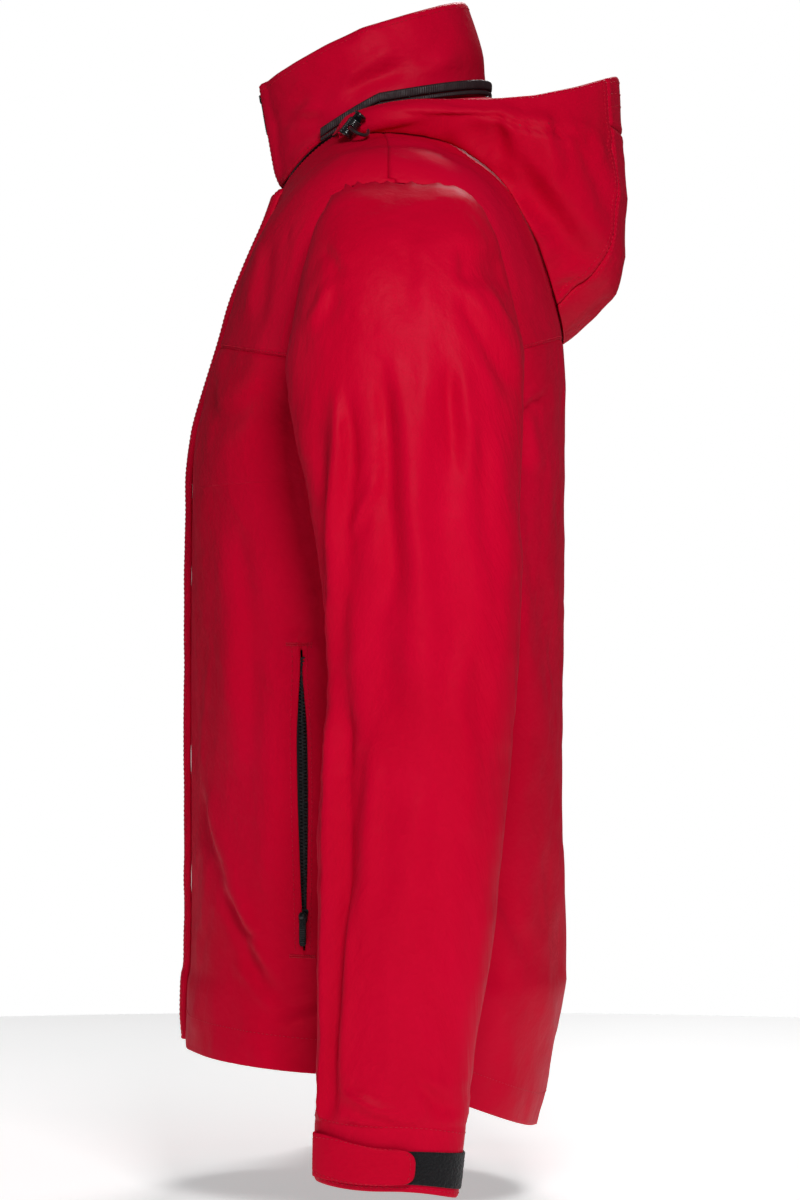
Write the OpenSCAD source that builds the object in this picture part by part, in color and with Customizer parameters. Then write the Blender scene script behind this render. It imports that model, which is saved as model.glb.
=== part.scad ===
// Waterproof shell jacket with a zip-off hood, as worn: front towards -Y,
// the wearer's left towards +X, origin at the centre front of the neck seam.

/* [Body] */
// Half width of the body at the chest
chest_half_w = 204; // [198:1:206]
// How far the chest stands in front of the origin
chest_front = 135; // [130:1:140]
// How far the back stands behind the origin
chest_back = 138; // [132:1:144]
// Length from the neck seam to the hem at the centre front
front_len = 626; // [600:1:660]
// Length from the origin's level to the hem at the centre back
back_len = 685; // [660:1:720]
// Thickness of the shell cloth's stand-in
shell_t = 1.6; // [1.2:0.1:2]

/* [Collar] */
// Height of the collar at the centre front
collar_front_h = 76; // [60:1:85]
// Height of the collar's top edge at the back
collar_back_h = 137; // [120:1:140]
// Thickness of the collar's outer cloth
collar_t = 2; // [1.6:0.1:2.4]

/* [Sleeves] */
// Level of the sleeve's end, below the origin
sleeve_len = 702; // [690:1:710]
// Height of the cuff band
cuff_h = 46; // [38:1:50]
// Height of the cuff tab
tab_h = 30; // [24:1:32]

/* [Fastenings] */
// Length of the hand pockets' zips
pocket_len = 208; // [180:1:210]
// Width of one tape of a zip
tape_w = 14; // [12:1:16]
// Radius of a cord lock's barrel
lock_r = 5.4; // [5:0.1:6]
// Diameter of the hood's elastic cord
cord_d = 2.6; // [2.2:0.1:3]

/* [Hidden] */
$fn = 32;
gap = 0.4;                    // between sewn pieces that lie on each other
red = [0.75, 0.03, 0.14];
red_dark = [0.55, 0.01, 0.10];
black = [0.06, 0.06, 0.07];
grey = [0.28, 0.16, 0.19];
mesh_grey = [0.30, 0.30, 0.32];

// ---- Curved sheets ---------------------------------------------------------
// A ring is [front_y, front_z, back_y, back_z, out_x, out_z, in_x, in_z, squareness, slope].
// Angle 0 is the ring's front, 90 its outer side and 180 its back. A slope of 1 runs
// straight down from the sides to the front and back, and 2 leaves the sides level.

function lerp(a, b, t) = a + (b - a) * t;
function signed_pow(v, p) = sign(v) * pow(abs(v), p);
function smooth_row(rows, s) =
    let (last = len(rows) - 1, i = min(max(floor(s), 0), last - 1), t = s - i,
         p0 = rows[max(i - 1, 0)], p1 = rows[i], p2 = rows[i + 1], p3 = rows[min(i + 2, last)])
    0.5 * (2 * p1 + (p2 - p0) * t + (2 * p0 - 5 * p1 + 4 * p2 - p3) * t * t
           + (3 * p1 - p0 - 3 * p2 + p3) * t * t * t);
function ring_point(r, a) =
    let (c = cos(a), p = 2 / r[8], across = signed_pow(sin(a), p),
         z_side = (r[5] + r[7]) / 2 + (r[5] - r[7]) / 2 * across)
    [(r[4] + r[6]) / 2 + (r[4] - r[6]) / 2 * across,
     (r[0] + r[2]) / 2 - (r[2] - r[0]) / 2 * signed_pow(c, p),
     lerp(z_side, c > 0 ? r[1] : r[3], pow(abs(c), r[9]))];
function unit(v) = v / max(norm(v), 1e-9);
function skin_point(rows, s, a, off = 0) =
    let (e = 0.02, da = 0.5, last = len(rows) - 1,
         s0 = max(s - e, 0), s1 = min(s + e, last),
         p = ring_point(smooth_row(rows, s), a))
    off == 0 ? p :
    p + off * unit(cross(ring_point(smooth_row(rows, s), a - da)
                         - ring_point(smooth_row(rows, s), a + da),
                         ring_point(smooth_row(rows, s1), a) - ring_point(smooth_row(rows, s0), a)));
// The angle at which a ring reaches a given x on its outer side, or a given y
function angle_of_x(r, x) = asin(min(1, pow(max(0, (2 * x - r[4] - r[6]) / (r[4] - r[6])), r[8] / 2)));
function angle_of_y(r, y) =
    let (k = (r[0] + r[2] - 2 * y) / (r[2] - r[0])) acos(signed_pow(max(-1, min(1, k)), r[8] / 2));
function steps(a, b, n) = [for (i = [0:n]) lerp(a, b, i / n)];

// A closed solid between two grids of points, with a window of cells left out:
// [first column, last column, first row, last row]
module sheet(top, under, window = [0, 0, 0, 0], ring = false) {
    rows = len(top);
    cols = len(top[0]);
    n = rows * cols;
    function id(j, i, k) = k * n + j * cols + (i % cols);
    function cell_open(j, i) = i >= window[0] && i < window[1] && j >= window[2] && j < window[3];
    wide = ring ? cols : cols - 1;
    function solid_cell(j, i) =
        j >= 0 && j < rows - 1 && (ring || (i >= 0 && i < wide)) && !cell_open(j, i);
    skins = [for (j = [0:rows - 2], i = [0:wide - 1]) if (!cell_open(j, i)) each
        [[id(j, i, 0), id(j, i + 1, 0), id(j + 1, i + 1, 0)],
         [id(j, i, 0), id(j + 1, i + 1, 0), id(j + 1, i, 0)],
         [id(j, i, 1), id(j + 1, i + 1, 1), id(j, i + 1, 1)],
         [id(j, i, 1), id(j + 1, i, 1), id(j + 1, i + 1, 1)]]];
    across = [for (j = [0:rows - 1], i = [0:wide - 1])
        let (above = solid_cell(j - 1, i), below = solid_cell(j, i))
        if (above != below) each below
            ? [[id(j, i, 0), id(j, i + 1, 1), id(j, i + 1, 0)], [id(j, i, 0), id(j, i, 1), id(j, i + 1, 1)]]
            : [[id(j, i, 0), id(j, i + 1, 0), id(j, i + 1, 1)], [id(j, i, 0), id(j, i + 1, 1), id(j, i, 1)]]];
    along = [for (j = [0:rows - 2], i = [0:wide])
        let (before = !(ring && i == wide) && solid_cell(j, ring && i == 0 ? wide - 1 : i - 1),
             after = !(ring && i == wide) && solid_cell(j, i))
        if (before != after) each after
            ? [[id(j, i, 0), id(j + 1, i, 0), id(j + 1, i, 1)], [id(j, i, 0), id(j + 1, i, 1), id(j, i, 1)]]
            : [[id(j, i, 0), id(j + 1, i, 1), id(j + 1, i, 0)], [id(j, i, 0), id(j, i, 1), id(j + 1, i, 1)]]];
    polyhedron(points = concat([for (r = top) each r], [for (r = under) each r]),
               faces = concat(skins, across, along), convexity = 6);
}

// A cloth patch on a surface: outer face at offset top, inner face at offset top - t.
// at(s) gives the list of angles of a row.
module patch(rows, s_list, at, top = 0, t = shell_t, window = [0, 0, 0, 0], ring = false) {
    outer = [for (s = s_list) [for (a = at(s)) skin_point(rows, s, a, top)]];
    inner = [for (s = s_list) [for (a = at(s)) skin_point(rows, s, a, top - t)]];
    sheet(outer, inner, window, ring);
}
module mirrored(side) {
    if (side > 0) children();
    else mirror([1, 0, 0]) children();
}

// ---- Body ------------------------------------------------------------------
function body_ring(front_y, front_z, back_y, back_z, half_w, side_z, square, slope = 2) =
    [front_y, front_z, back_y, back_z, half_w, side_z, -half_w, side_z, square, slope];
fy = -chest_front;
by = chest_back;
hw = chest_half_w;
BODY = [body_ring(-69, -2, 74, 30, 80, 40, 2.1),
        body_ring(-79, -30, 98, 2, 140, 21, 2.3),
        body_ring(fy + 36, -78, 119, -48, hw - 6, -8, 2.7),
        body_ring(fy + 23, -121, by - 2, -114, hw, -136, 3),
        body_ring(fy + 4, -188, by - 0.5, -182, hw, -186, 3),
        body_ring(fy + 1, -245, by, -238, hw - 1, -242, 2.9),
        body_ring(fy, -366, by + 1, -366, hw - 7, -366, 2.7),
        body_ring(fy, -550, by + 2, -552, hw - 4, -550, 2.6),
        body_ring(fy - 3, -585, by + 1, -594, hw - 2, -586, 2.6),
        body_ring(fy - 4, -front_len, 118, -back_len, hw - 1, -635, 2.6, 1.1)];
s_yoke = 3;                   // seam between yoke and lower panels
s_armpit = 4.7;
s_tip = 2;                    // shoulder tip
s_hem = 9;
s_pocket_top = 5.8;
s_pocket_end = 7;
zip_x = 11;                   // half the gap that the front zip fills
armhole_plane = 205;
ARMHOLE = [-53, -119, 83, -119, 206, -12, 206, -226, 4.5, 2];

// The armhole's edge at a level, on its front (dir -1) or back (dir 1) side
function armhole_y(z, dir) =
    let (k = max(-1, min(1, (z - (ARMHOLE[5] + ARMHOLE[7]) / 2) / ((ARMHOLE[5] - ARMHOLE[7]) / 2))),
         c = cos(asin(signed_pow(k, 1 / (ARMHOLE[9] + 2 / ARMHOLE[8])))))
    (ARMHOLE[0] + ARMHOLE[2]) / 2 + dir * (ARMHOLE[2] - ARMHOLE[0]) / 2 * pow(max(0, c), 2 / ARMHOLE[8]);
function side_edge(s, dir) =
    s <= s_tip || s >= s_armpit ? 90
    : angle_of_y(smooth_row(BODY, s), armhole_y(smooth_row(BODY, s)[5], dir));
function body_angles(s, x0, shares, dir = -1) =
    let (a0 = angle_of_x(smooth_row(BODY, s), x0), a1 = side_edge(s, dir))
    [for (k = shares) lerp(a0, a1, k)];
front_columns = [0, 0.05, 0.12, 0.22, 0.33, 0.44, 0.55, 0.63, 0.7, 0.75, 0.8, 0.84, 0.88, 0.92, 0.96, 1];
pocket_column = 10;
back_columns = steps(-1, 1, 18);
yoke_rows = [0, 0.4, 0.8, 1.2, 1.6, 2, 2.25, 2.5, 2.75, 3];
lower_rows = [3, 3.3, 3.7, 4.1, 4.5, 4.7, 5, 5.4, 5.8, 6.2, 6.6, 7, 7.5, 8, 8.5, 9];
pocket_row = 8;

function front_angles(s) = body_angles(s, zip_x, front_columns);
function back_angles(s) =
    [for (k = back_columns) k < 0 ? lerp(180, side_edge(s, 1), -k) : 360 - lerp(180, side_edge(s, 1), k)];

module front_panel() {
    color(red_dark) patch(BODY, lower_rows, function(s) front_angles(s),
        window = [pocket_column, pocket_column + 1, pocket_row, pocket_row + 3]);
}
module front_yoke() {
    color(red) patch(BODY, yoke_rows, function(s) front_angles(s));
}
module back_panel() {
    color(red_dark) patch(BODY, lower_rows, function(s) back_angles(s));
}
module back_yoke() {
    color(red) patch(BODY, yoke_rows, function(s) back_angles(s));
}
// The turned-up inner layer of the hem shares the panels' columns
module hem_facing() {
    inner_columns = [for (k = front_columns) if (k > 0.04) k];
    color(red_dark) patch(BODY, [8.5, 8.98],
        function(s) let (front = body_angles(s, zip_x, inner_columns), n = len(front))
            concat([for (i = [0:n - 2]) front[i]], back_angles(s), [for (i = [n - 2:-1:0]) 360 - front[i]]),
        top = -shell_t - gap, t = 1);
}
module body_lining() {
    rows = concat([for (s = yoke_rows) if (s > 0.3 && s < 3) s], [for (s = lower_rows) if (s < 8.2) s]);
    color(mesh_grey) {
        patch(BODY, rows, function(s) [for (k = back_columns) if (abs(k) < 1.01) lerp(180, k < 0
            ? side_edge(s, 1) + 2 : 360 - side_edge(s, 1) - 2, abs(k))], top = -5, t = 1);
        for (side = [-1, 1]) mirrored(side)
            patch(BODY, rows, function(s) body_angles(s, 40, steps(0, 0.975, 9)), top = -16, t = 1);
    }
}

// ---- Sleeves ---------------------------------------------------------------
function arm_ring(front_y, front_z, back_y, back_z, out_x, out_z, in_x, in_z, square = 2.2) =
    [front_y, front_z, back_y, back_z, out_x, out_z, in_x, in_z, square, 2];
cuff_top = cuff_h - sleeve_len;
SLEEVE = [arm_ring(-53, -119, 83, -119, 206.5, -12, 206.5, -226, 4.5),
          arm_ring(-58, -128, 101, -128, 250, -26, 207, -232, 4.4),
          arm_ring(-61, -146, 103, -146, 291, -64, 208, -238, 3.4),
          arm_ring(-55, -184, 101.5, -184, 315, -124, 209, -246, 2.6),
          arm_ring(-46, -228, 99, -228, 323, -195, 210, -262),
          arm_ring(-35, -290, 100, -290, 327, -280, 213, -300),
          arm_ring(-30, -350, 99, -350, 327, -348, 217, -352),
          arm_ring(-35, -430, 93, -430, 326, -430, 225, -430),
          arm_ring(-38, -520, 83.5, -520, 324, -520, 236, -520),
          arm_ring(-38.3, -600, 71, -600, 321, -600, 246, -600),
          arm_ring(-39.5, cuff_top, 63.5, cuff_top - 4, 318, cuff_top - 2, 254, cuff_top - 2),
          arm_ring(-40, 5 - sleeve_len, 58, -7 - sleeve_len, 316, -sleeve_len, 258, -sleeve_len)];
sleeve_rows = [0, 0.4, 0.8, 1.2, 1.7, 2.2, 2.7, 3.3, 4, 4.6, 5.3, 6, 7, 8, 9, 10, 11];
cuff_rows = [10.02, 10.4, 10.7, 10.98];
module sleeve() {
    color(red) patch(SLEEVE, sleeve_rows, function(s) steps(-38, 208, 20));
}
module under_sleeve() {
    color(red_dark) patch(SLEEVE, sleeve_rows, function(s) steps(208, 322, 8));
}
module cuff_facing() {
    color(red_dark) patch(SLEEVE, cuff_rows, function(s) [for (i = [0:23]) 15 * i],
        top = -shell_t - gap, t = 1, ring = true);
}
// Rows of the cuff at a level share: 0 at the tab's top, 1 at its foot
s_tab_top = 10 + (cuff_h - tab_h - 8) / cuff_h;
s_tab_end = 10 + (cuff_h - 8) / cuff_h;
tab_lift = 3.1;
module cuff_loop_patch() {
    color(black) patch(SLEEVE, steps(s_tab_top + 0.14, s_tab_end - 0.02, 2),
        function(s) steps(62, 205, 12), top = 1.4, t = 1);
}
// The tab's outline: a strip with a rounded free end
function tab_angle(k, s) =
    let (v = (s - s_tab_top) / (s_tab_end - s_tab_top), w = 2 * v - 1)
    lerp(12, 109 - 16 * (1 - sqrt(max(0, 1 - w * w * w * w))), k);
module cuff_tab() {
    color(red) patch(SLEEVE, steps(s_tab_top, s_tab_end, 6),
        function(s) [for (k = steps(0, 1, 10)) tab_angle(k, s)], top = tab_lift + 1.4, t = 1.4);
}
module cuff_hook_patch() {
    color(black) patch(SLEEVE, steps(s_tab_top + 0.18, s_tab_end - 0.16, 2),
        function(s) steps(66, 90, 3), top = tab_lift - 0.1, t = 0.9);
}

// ---- Collar ----------------------------------------------------------------
COLLAR = [body_ring(-70, 0, 75, 32, 80, 42, 2.1),
          body_ring(-74.5, collar_front_h / 3, 80, 62, 82, 60, 2.15, 1.6),
          body_ring(-79, collar_front_h * 2 / 3, 81, 92, 81, 84, 2.15, 1.3),
          body_ring(-83.5, collar_front_h, 67, collar_back_h, 76, 111, 2.15, 1)];
collar_rows = steps(0.05, 3, 8);
collar_columns = 34;
function collar_angles(s, x0, n) =
    let (a0 = angle_of_x(smooth_row(COLLAR, s), x0)) steps(a0, 360 - a0, n);
module collar_shell() {
    color(red) patch(COLLAR, collar_rows,
        function(s) collar_angles(s, zip_x, collar_columns), t = collar_t);
}
module collar_lining() {
    columns = collar_columns;
    color(mesh_grey) patch(COLLAR, [for (s = collar_rows) min(s, 2.9)],
        function(s) let (a = collar_angles(s, zip_x, columns)) [for (i = [2:columns - 2]) a[i]],
        top = -collar_t - gap, t = 1.4);
}
module chin_guard() {
    color(red_dark) patch(COLLAR, steps(2.1, 2.96, 3),
        function(s) let (r = smooth_row(COLLAR, s)) steps(angle_of_x(r, 8), angle_of_x(r, 34), 4),
        top = -collar_t - 2.9, t = 1.2);
}
module hang_loop() {
    y = 66;
    z = 41;
    color(black) translate([0, y, z]) rotate([90, 0, 90]) translate([0, 0, -24]) difference() {
        linear_extrude(48) polygon([[0, 3], [-3, 3], [-6, -12], [-2, -14], [0, -14]]);
        translate([0, 0, 3]) linear_extrude(42)
            polygon([[-1.2, 1.8], [-2.2, 1.8], [-4.6, -11], [-1.2, -12.5]]);
    }
}

// ---- Front closure ---------------------------------------------------------
// A strip that follows the shell's surface down the front, between two x values, at an offset
function front_line(s) = s < 3 ? smooth_row(COLLAR, 3 - s) : smooth_row(BODY, s - 3);
front_stops = concat(steps(0.04, 2.9, 3), steps(3.1, 6, 6), steps(6.5, 11.9, 9));
function strip_point(s, x, off) =
    let (e = 0.05, here = front_line(s),
         t0 = front_line(max(s - e, 0)), t1 = front_line(min(s + e, 12)),
         d = unit([t1[0] - t0[0], t1[1] - t0[1]]),
         p = ring_point(here, angle_of_x(here, abs(x))))
    [x, p[1] + off * d[1], p[2] - off * d[0]];
module front_strip(stops, x0, x1, top, t) {
    sheet([for (s = stops) [for (x = [x0, x1]) strip_point(s, x, top)]],
          [for (s = stops) [for (x = [x0, x1]) strip_point(s, x, top - t)]]);
}
module front_zip_half() {
    color(black) {
        front_strip(front_stops, 2.6, zip_x + tape_w, -shell_t - 1.3, 0.8);
        front_strip(front_stops, 0.5, 2.5, -0.8, 2.6);
    }
}
module front_zip_stops() {
    foot = strip_point(11.9, 0, -2);
    color(black) translate(foot) translate([-4, -1.6, -9]) cube([8, 3.6, 8]);
}
module inner_flap() {
    color(red_dark) front_strip(front_stops, -24, 20, -7.5, 1.2);
}
flap_root = 33;
flap_free = -30;
flap_split = 6.9;             // the flap is sewn down above this row and opens below it
module flap_piece(stops) {
    sheet([for (s = stops) [for (x = steps(flap_root, flap_free, 6)) strip_point(s, x, 5.6)]],
          [for (s = stops) [for (x = steps(flap_root, flap_free, 6)) strip_point(s, x, 4)]]);
}
module storm_flap_top() {
    color(red) flap_piece(concat(steps(3.25, 6, 8), [6.4, flap_split - 0.005]));
}
module storm_flap() {
    color(red) flap_piece(concat([flap_split + 0.005, 7.4, 8], steps(8.6, 11.9, 6)));
}
patch_stops = [for (k = [0:3]) 7.3 + 1.2 * k];
module flap_loop_patches() {
    color(black) for (s = patch_stops) front_strip(steps(s, s + 0.3, 1), -27, -14, 1.9, 1.3);
}
module flap_hook_patches() {
    color(black) for (s = patch_stops) front_strip(steps(s, s + 0.3, 1), -26, -15, 3.6, 1);
}

// ---- Sliders and pulls -----------------------------------------------------
// A slider rides on the chain. Its two plates are joined by a thin web that runs
// between the two halves of the chain.
module slider_body(w, h) {
    difference() {
        translate([-w / 2, -3.1, -h / 2]) cube([w, 7.4, h]);
        translate([-w / 2 - 1, -0.2, -h]) cube([w + 2, 2.4, 2 * h]);
        translate([-3.2, -1.6, -h]) cube([6.4, 4.6, 2 * h]);
    }
    translate([-0.2, -2, 0]) cube([0.4, 5.6, h / 2]);
}
slider_h = 12;
pin_out = 4.2;                // from the chain's middle to a pull's pin
pull_top = strip_point(0.42, 0, -2);
pull_foot = strip_point(2.8, 0, -2);
front_lean = atan2(pull_top[1] - pull_foot[1], pull_top[2] - pull_foot[2]);
pin_at = pull_top + [0, -pin_out * cos(front_lean) + 1.4 * sin(front_lean),
    pin_out * sin(front_lean) + 1.4 * cos(front_lean)];
module front_zip_slider() {
    color(black) {
        translate(pull_top) rotate([-front_lean, 0, 0]) {
            slider_body(9, slider_h);
            difference() {
                translate([-1.2, -5.6, -3]) cube([2.4, 2.6, 6.4]);
                translate([-2, -pin_out, 1.4]) rotate([0, 90, 0]) cylinder(r = 0.9, h = 4);
            }
        }
    }
}
// The pull hangs from its pin and rests along the slider
module front_zip_pull() {
    color(black) translate(pin_at) rotate([-front_lean, 0, 0]) {
        translate([-2.6, 0, 0]) rotate([0, 90, 0]) cylinder(r = 0.6, h = 5.2);
        for (x = [-3.4, 2]) translate([x, -0.7, -9]) cube([1.4, 1.4, 9.6]);
        translate([-3.4, -0.7, -28]) cube([6.8, 1.4, 19.5]);
    }
}

// ---- Hand pockets ----------------------------------------------------------
pocket_angle = 74;
pocket_a = skin_point(BODY, s_pocket_top, pocket_angle);
pocket_b = skin_point(BODY, s_pocket_end, pocket_angle);
pocket_turn = 73;             // the way that the pocket's zip faces, from the front
pocket_dir = unit(pocket_a - pocket_b);
pocket_lean = asin(pocket_dir[0] * cos(pocket_turn) + pocket_dir[1] * sin(pocket_turn));
zip_sink = 3.4;               // the zip lies this far behind the shell's outer face
slider_share = 0.88;          // how far down the pocket the open zip's slider stands
module at_pocket(share) {
    translate(lerp(pocket_a, pocket_b, share)) rotate([0, 0, pocket_turn])
        rotate([0, pocket_lean, 0]) translate([0, zip_sink, 0]) children();
}
// The chain and the tape beside it run straight through the slider; the rest
// of each tape lies behind the panel's lip and shares its columns
module pocket_zip() {
    chain = pocket_len - 6;
    color(black) {
        for (shares = [[0.75, 0.8], [0.84, 0.88]])
            patch(BODY, [for (k = [0:3]) lower_rows[pocket_row + k]],
                function(s) body_angles(s, zip_x, shares), top = -shell_t - 0.6, t = 0.9);
        at_pocket(0.5) for (m = [0, 1]) mirror([m, 0, 0]) {
            translate([0.5, -1.2, -chain / 2]) cube([2, 3.2, chain]);
            translate([2.3, 0.6, -chain / 2]) cube([2.9, 0.9, chain]);
        }
    }
}
// A stud on the pocket's slider carries the pull's eye
module pocket_slider() {
    color(black) at_pocket(slider_share) translate([0, 0.1, 0]) {
        slider_body(8, 10);
        translate([0, -3, 0]) rotate([90, 0, 0]) cylinder(r = 1.1, h = 4.4);
        translate([0, -7.3, 0]) rotate([90, 0, 0]) cylinder(r = 2.1, h = 0.8);
    }
}
module pocket_pull() {
    color(black) at_pocket(slider_share) rotate([0, -pocket_lean, 0]) translate([0, -4.8, 0])
        rotate([90, 0, 0]) linear_extrude(1.6) difference() {
            union() {
                circle(r = 3);
                translate([-2.4, -21]) square([4.8, 21]);
            }
            circle(r = 1.4);
        }
}
module pocket_bag() {
    color(mesh_grey) patch(BODY, [5.5, 5.9, 6.3, 6.7, 7.1, 7.6],
        function(s) steps(24, 66, 7), top = -12, t = 1);
}

// ---- Hood ------------------------------------------------------------------
// Rings from the face edge down to the bag's bottom fold
HOOD = [body_ring(-76, 6, 180, 81, 114, 56, 2.7),
        body_ring(-76, 6, 181.5, 38, 118, 52, 2.7, 1.9),
        body_ring(-75, 3, 184.5, -20, 122, 48, 2.7, 1.8),
        body_ring(-73, 2, 182, -64, 122, 44, 2.7, 1.65),
        body_ring(-70, 8, 167, -92, 118, 40.5, 2.7, 1.5),
        body_ring(-64, 16, 148, -110, 115, 37, 2.9, 1.3)];
hood_from = 58;               // where the hood's front end is, as an angle
centre_from = 152;            // the centre panel's seam
hood_rows = [0, 0.5, 1, 1.6, 2.2, 2.8, 3.4, 4, 4.5, 5];
module hood_side_panel() {
    color(red) patch(HOOD, hood_rows, function(s) steps(hood_from, centre_from, 12));
}
module hood_centre_panel() {
    color(red) patch(HOOD, [for (s = hood_rows) if (s >= 1) s],
        function(s) steps(centre_from, 360 - centre_from, 8));
}
module hood_brim() {
    color(red) patch(HOOD, [0, 0.5, 1], function(s) steps(centre_from, 360 - centre_from, 8), t = 2.4);
}
// The bag's inner side, next to the wearer's back
NAPE = [body_ring(-62, -4, 145.5, -106.5, 112, 36, 2.7, 1.3),
        body_ring(-66, 0, 141, -84, 109, 40, 2.5, 1.5),
        body_ring(-70, 4, 129.5, -48, 105, 44, 2.4, 1.7),
        body_ring(-73, 10, 113, -14, 99, 49, 2.2)];
module hood_nape_panel() {
    color(red_dark) patch(NAPE, steps(0, 2, 4), function(s) steps(128, 232, 12), top = 1, t = 1.4);
}
NECK = [body_ring(-73, 8, 110, -6, 93, 44, 2.2),
        body_ring(-75, 6, 97, 32, 91, 48, 2.2, 1.4),
        body_ring(-76.5, 4, 90, 66, 89, 51, 2.2, 1)];
module hood_neck_panel() {
    color(red_dark) patch(NECK, steps(0, 2, 4), function(s) steps(66, 294, 24), top = 1, t = 1.4);
}
// The zip between hood and collar: tape and chain halves round the collar
ZIP_RING = [body_ring(-77.4, 4, 85.4, 68, 86.6, 53, 2.15, 1),
            body_ring(-78.2, 17, 85.8, 82, 86.4, 66, 2.15, 1)];
module hood_zip_collar_half() {
    color(grey) patch(ZIP_RING, [0.3, 0.62, 0.95], function(s) steps(60, 300, 30), t = 1.6);
}
module hood_zip_hood_half() {
    color(grey) patch(ZIP_RING, [-0.02, 0.27], function(s) steps(60, 300, 30), t = 1.6);
}

// ---- Cord locks ------------------------------------------------------------
lock_at = [123.6, -17, 33.5];   // centre of the left lock
lock_tilt = -38;
lock_len = 14;
cord_clear = cord_d / 2 + 0.7;
module at_lock() {
    translate(lock_at) rotate([lock_tilt, 0, 0]) children();
}
module cord_lock() {
    color(black) at_lock() difference() {
        cylinder(r = lock_r, h = lock_len, center = true);
        translate([0, 0, -lock_len / 2 + 2]) cylinder(r = lock_r - 1.2, h = lock_len);
        translate([-10, 0, 0]) rotate([0, 90, 0]) cylinder(r = cord_clear, h = 20);
    }
}
// The button slides in the barrel, and the cord runs through its slot
module lock_button() {
    button_r = lock_r - 1.6;
    color(black) at_lock() difference() {
        union() {
            translate([0, 0, -1.6]) cylinder(r = button_r, h = lock_len / 2 + 5.4);
            translate([0, 0, lock_len / 2 + 3.8]) cylinder(r = lock_r - 0.2, h = 2);
        }
        for (z = [0, 3.4]) translate([-10, 0, z]) rotate([0, 90, 0]) cylinder(r = cord_clear, h = 20);
        translate([-10, -cord_clear, 0]) cube([20, 2 * cord_clear, 3.4]);
    }
}
module lock_spring() {
    color("silver") at_lock() translate([0, 0, -4.5]) rotate_extrude() translate([2.6, 0]) circle(r = 0.4);
}
// Route of the left cord: out of the eyelet, through the lock, and back in its loop
cord_route = [[114.2, -17, 33.5], [117.1, -17, 33.5], [120.3, -17, 33.5], [123.6, -17, 33.5],
    [127.6, -17, 33.4], [131.6, -16.8, 32.9], [134.9, -16, 31.5], [137, -14, 29.8], [137.5, -11, 28.2],
    [136, -8, 27.4], [133.2, -5.8, 27.6], [129.6, -4.6, 28.8], [126.1, -4.2, 30.4], [123.1, -4.2, 31.8]];
cord_sides = 8;
function route_ring(k) =
    let (n = len(cord_route), p = cord_route[k],
         d = unit(cord_route[min(k + 1, n - 1)] - cord_route[max(k - 1, 0)]),
         u = unit(cross(d, [0, 0, 1])), v = cross(d, u))
    [for (i = [0:cord_sides - 1]) p + cord_d / 2 * (cos(45 * i) * u + sin(45 * i) * v)];
module hood_cord() {
    n = len(cord_route);
    m = cord_sides;
    walls = [for (k = [0:n - 2], i = [0:m - 1]) let (j = (i + 1) % m) each
        [[k * m + i, k * m + j, (k + 1) * m + j], [k * m + i, (k + 1) * m + j, (k + 1) * m + i]]];
    color(black) polyhedron(points = [for (k = [0:n - 1]) each route_ring(k)],
        faces = concat(walls, [[for (i = [m - 1:-1:0]) i]], [[for (i = [0:m - 1]) (n - 1) * m + i]]));
}
module hood_eyelets() {
    color("silver") for (side = [-1, 1]) mirrored(side)
        translate([cord_route[0][0], -17, 33.5]) rotate([0, 90, 0]) difference() {
            cylinder(r = 4, h = 1, center = true);
            cylinder(r = cord_d / 2 + 0.3, h = 3, center = true);
        }
}

back_panel();
back_yoke();
front_panel();  // left_front_panel
mirrored(-1) front_panel();  // right_front_panel
front_yoke();  // left_front_yoke
mirrored(-1) front_yoke();  // right_front_yoke
hem_facing();
sleeve();  // left_sleeve
mirrored(-1) sleeve();  // right_sleeve
under_sleeve();  // left_under_sleeve
mirrored(-1) under_sleeve();  // right_under_sleeve
cuff_facing();  // left_cuff_facing
mirrored(-1) cuff_facing();  // right_cuff_facing
cuff_loop_patch();  // left_cuff_loop_patch
mirrored(-1) cuff_loop_patch();  // right_cuff_loop_patch
collar_shell();
collar_lining();
chin_guard();
hang_loop();
body_lining();
inner_flap();
front_zip_half();  // front_zip_left_half
mirrored(-1) front_zip_half();  // front_zip_right_half
front_zip_stops();
pocket_bag();  // left_pocket_bag
mirrored(-1) pocket_bag();  // right_pocket_bag
pocket_zip();  // left_pocket_zip
mirrored(-1) pocket_zip();  // right_pocket_zip
hood_zip_collar_half();
hood_zip_hood_half();
hood_neck_panel();
flap_loop_patches();
storm_flap_top();
storm_flap();
flap_hook_patches();
hood_side_panel();  // hood_left_panel
mirrored(-1) hood_side_panel();  // hood_right_panel
hood_centre_panel();
hood_brim();
hood_nape_panel();
cord_lock();  // left_hood_cord_lock
mirrored(-1) cord_lock();  // right_hood_cord_lock
hood_cord();  // left_hood_cord
mirrored(-1) hood_cord();  // right_hood_cord
hood_eyelets();
lock_button();  // left_lock_button
mirrored(-1) lock_button();  // right_lock_button
lock_spring();  // left_lock_spring
mirrored(-1) lock_spring();  // right_lock_spring
front_zip_slider();
front_zip_pull();
pocket_slider();  // left_pocket_slider
mirrored(-1) pocket_slider();  // right_pocket_slider
pocket_pull();  // left_pocket_pull
mirrored(-1) pocket_pull();  // right_pocket_pull
cuff_tab();  // left_cuff_tab
mirrored(-1) cuff_tab();  // right_cuff_tab
cuff_hook_patch();  // left_cuff_hook_patch
mirrored(-1) cuff_hook_patch();  // right_cuff_hook_patch
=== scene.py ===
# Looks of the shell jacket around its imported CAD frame. Metres, +Z up, -Y front, +X the wearer's left.
import math
import bpy
import bmesh
import numpy as np
from mathutils import Matrix, Vector


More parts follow.
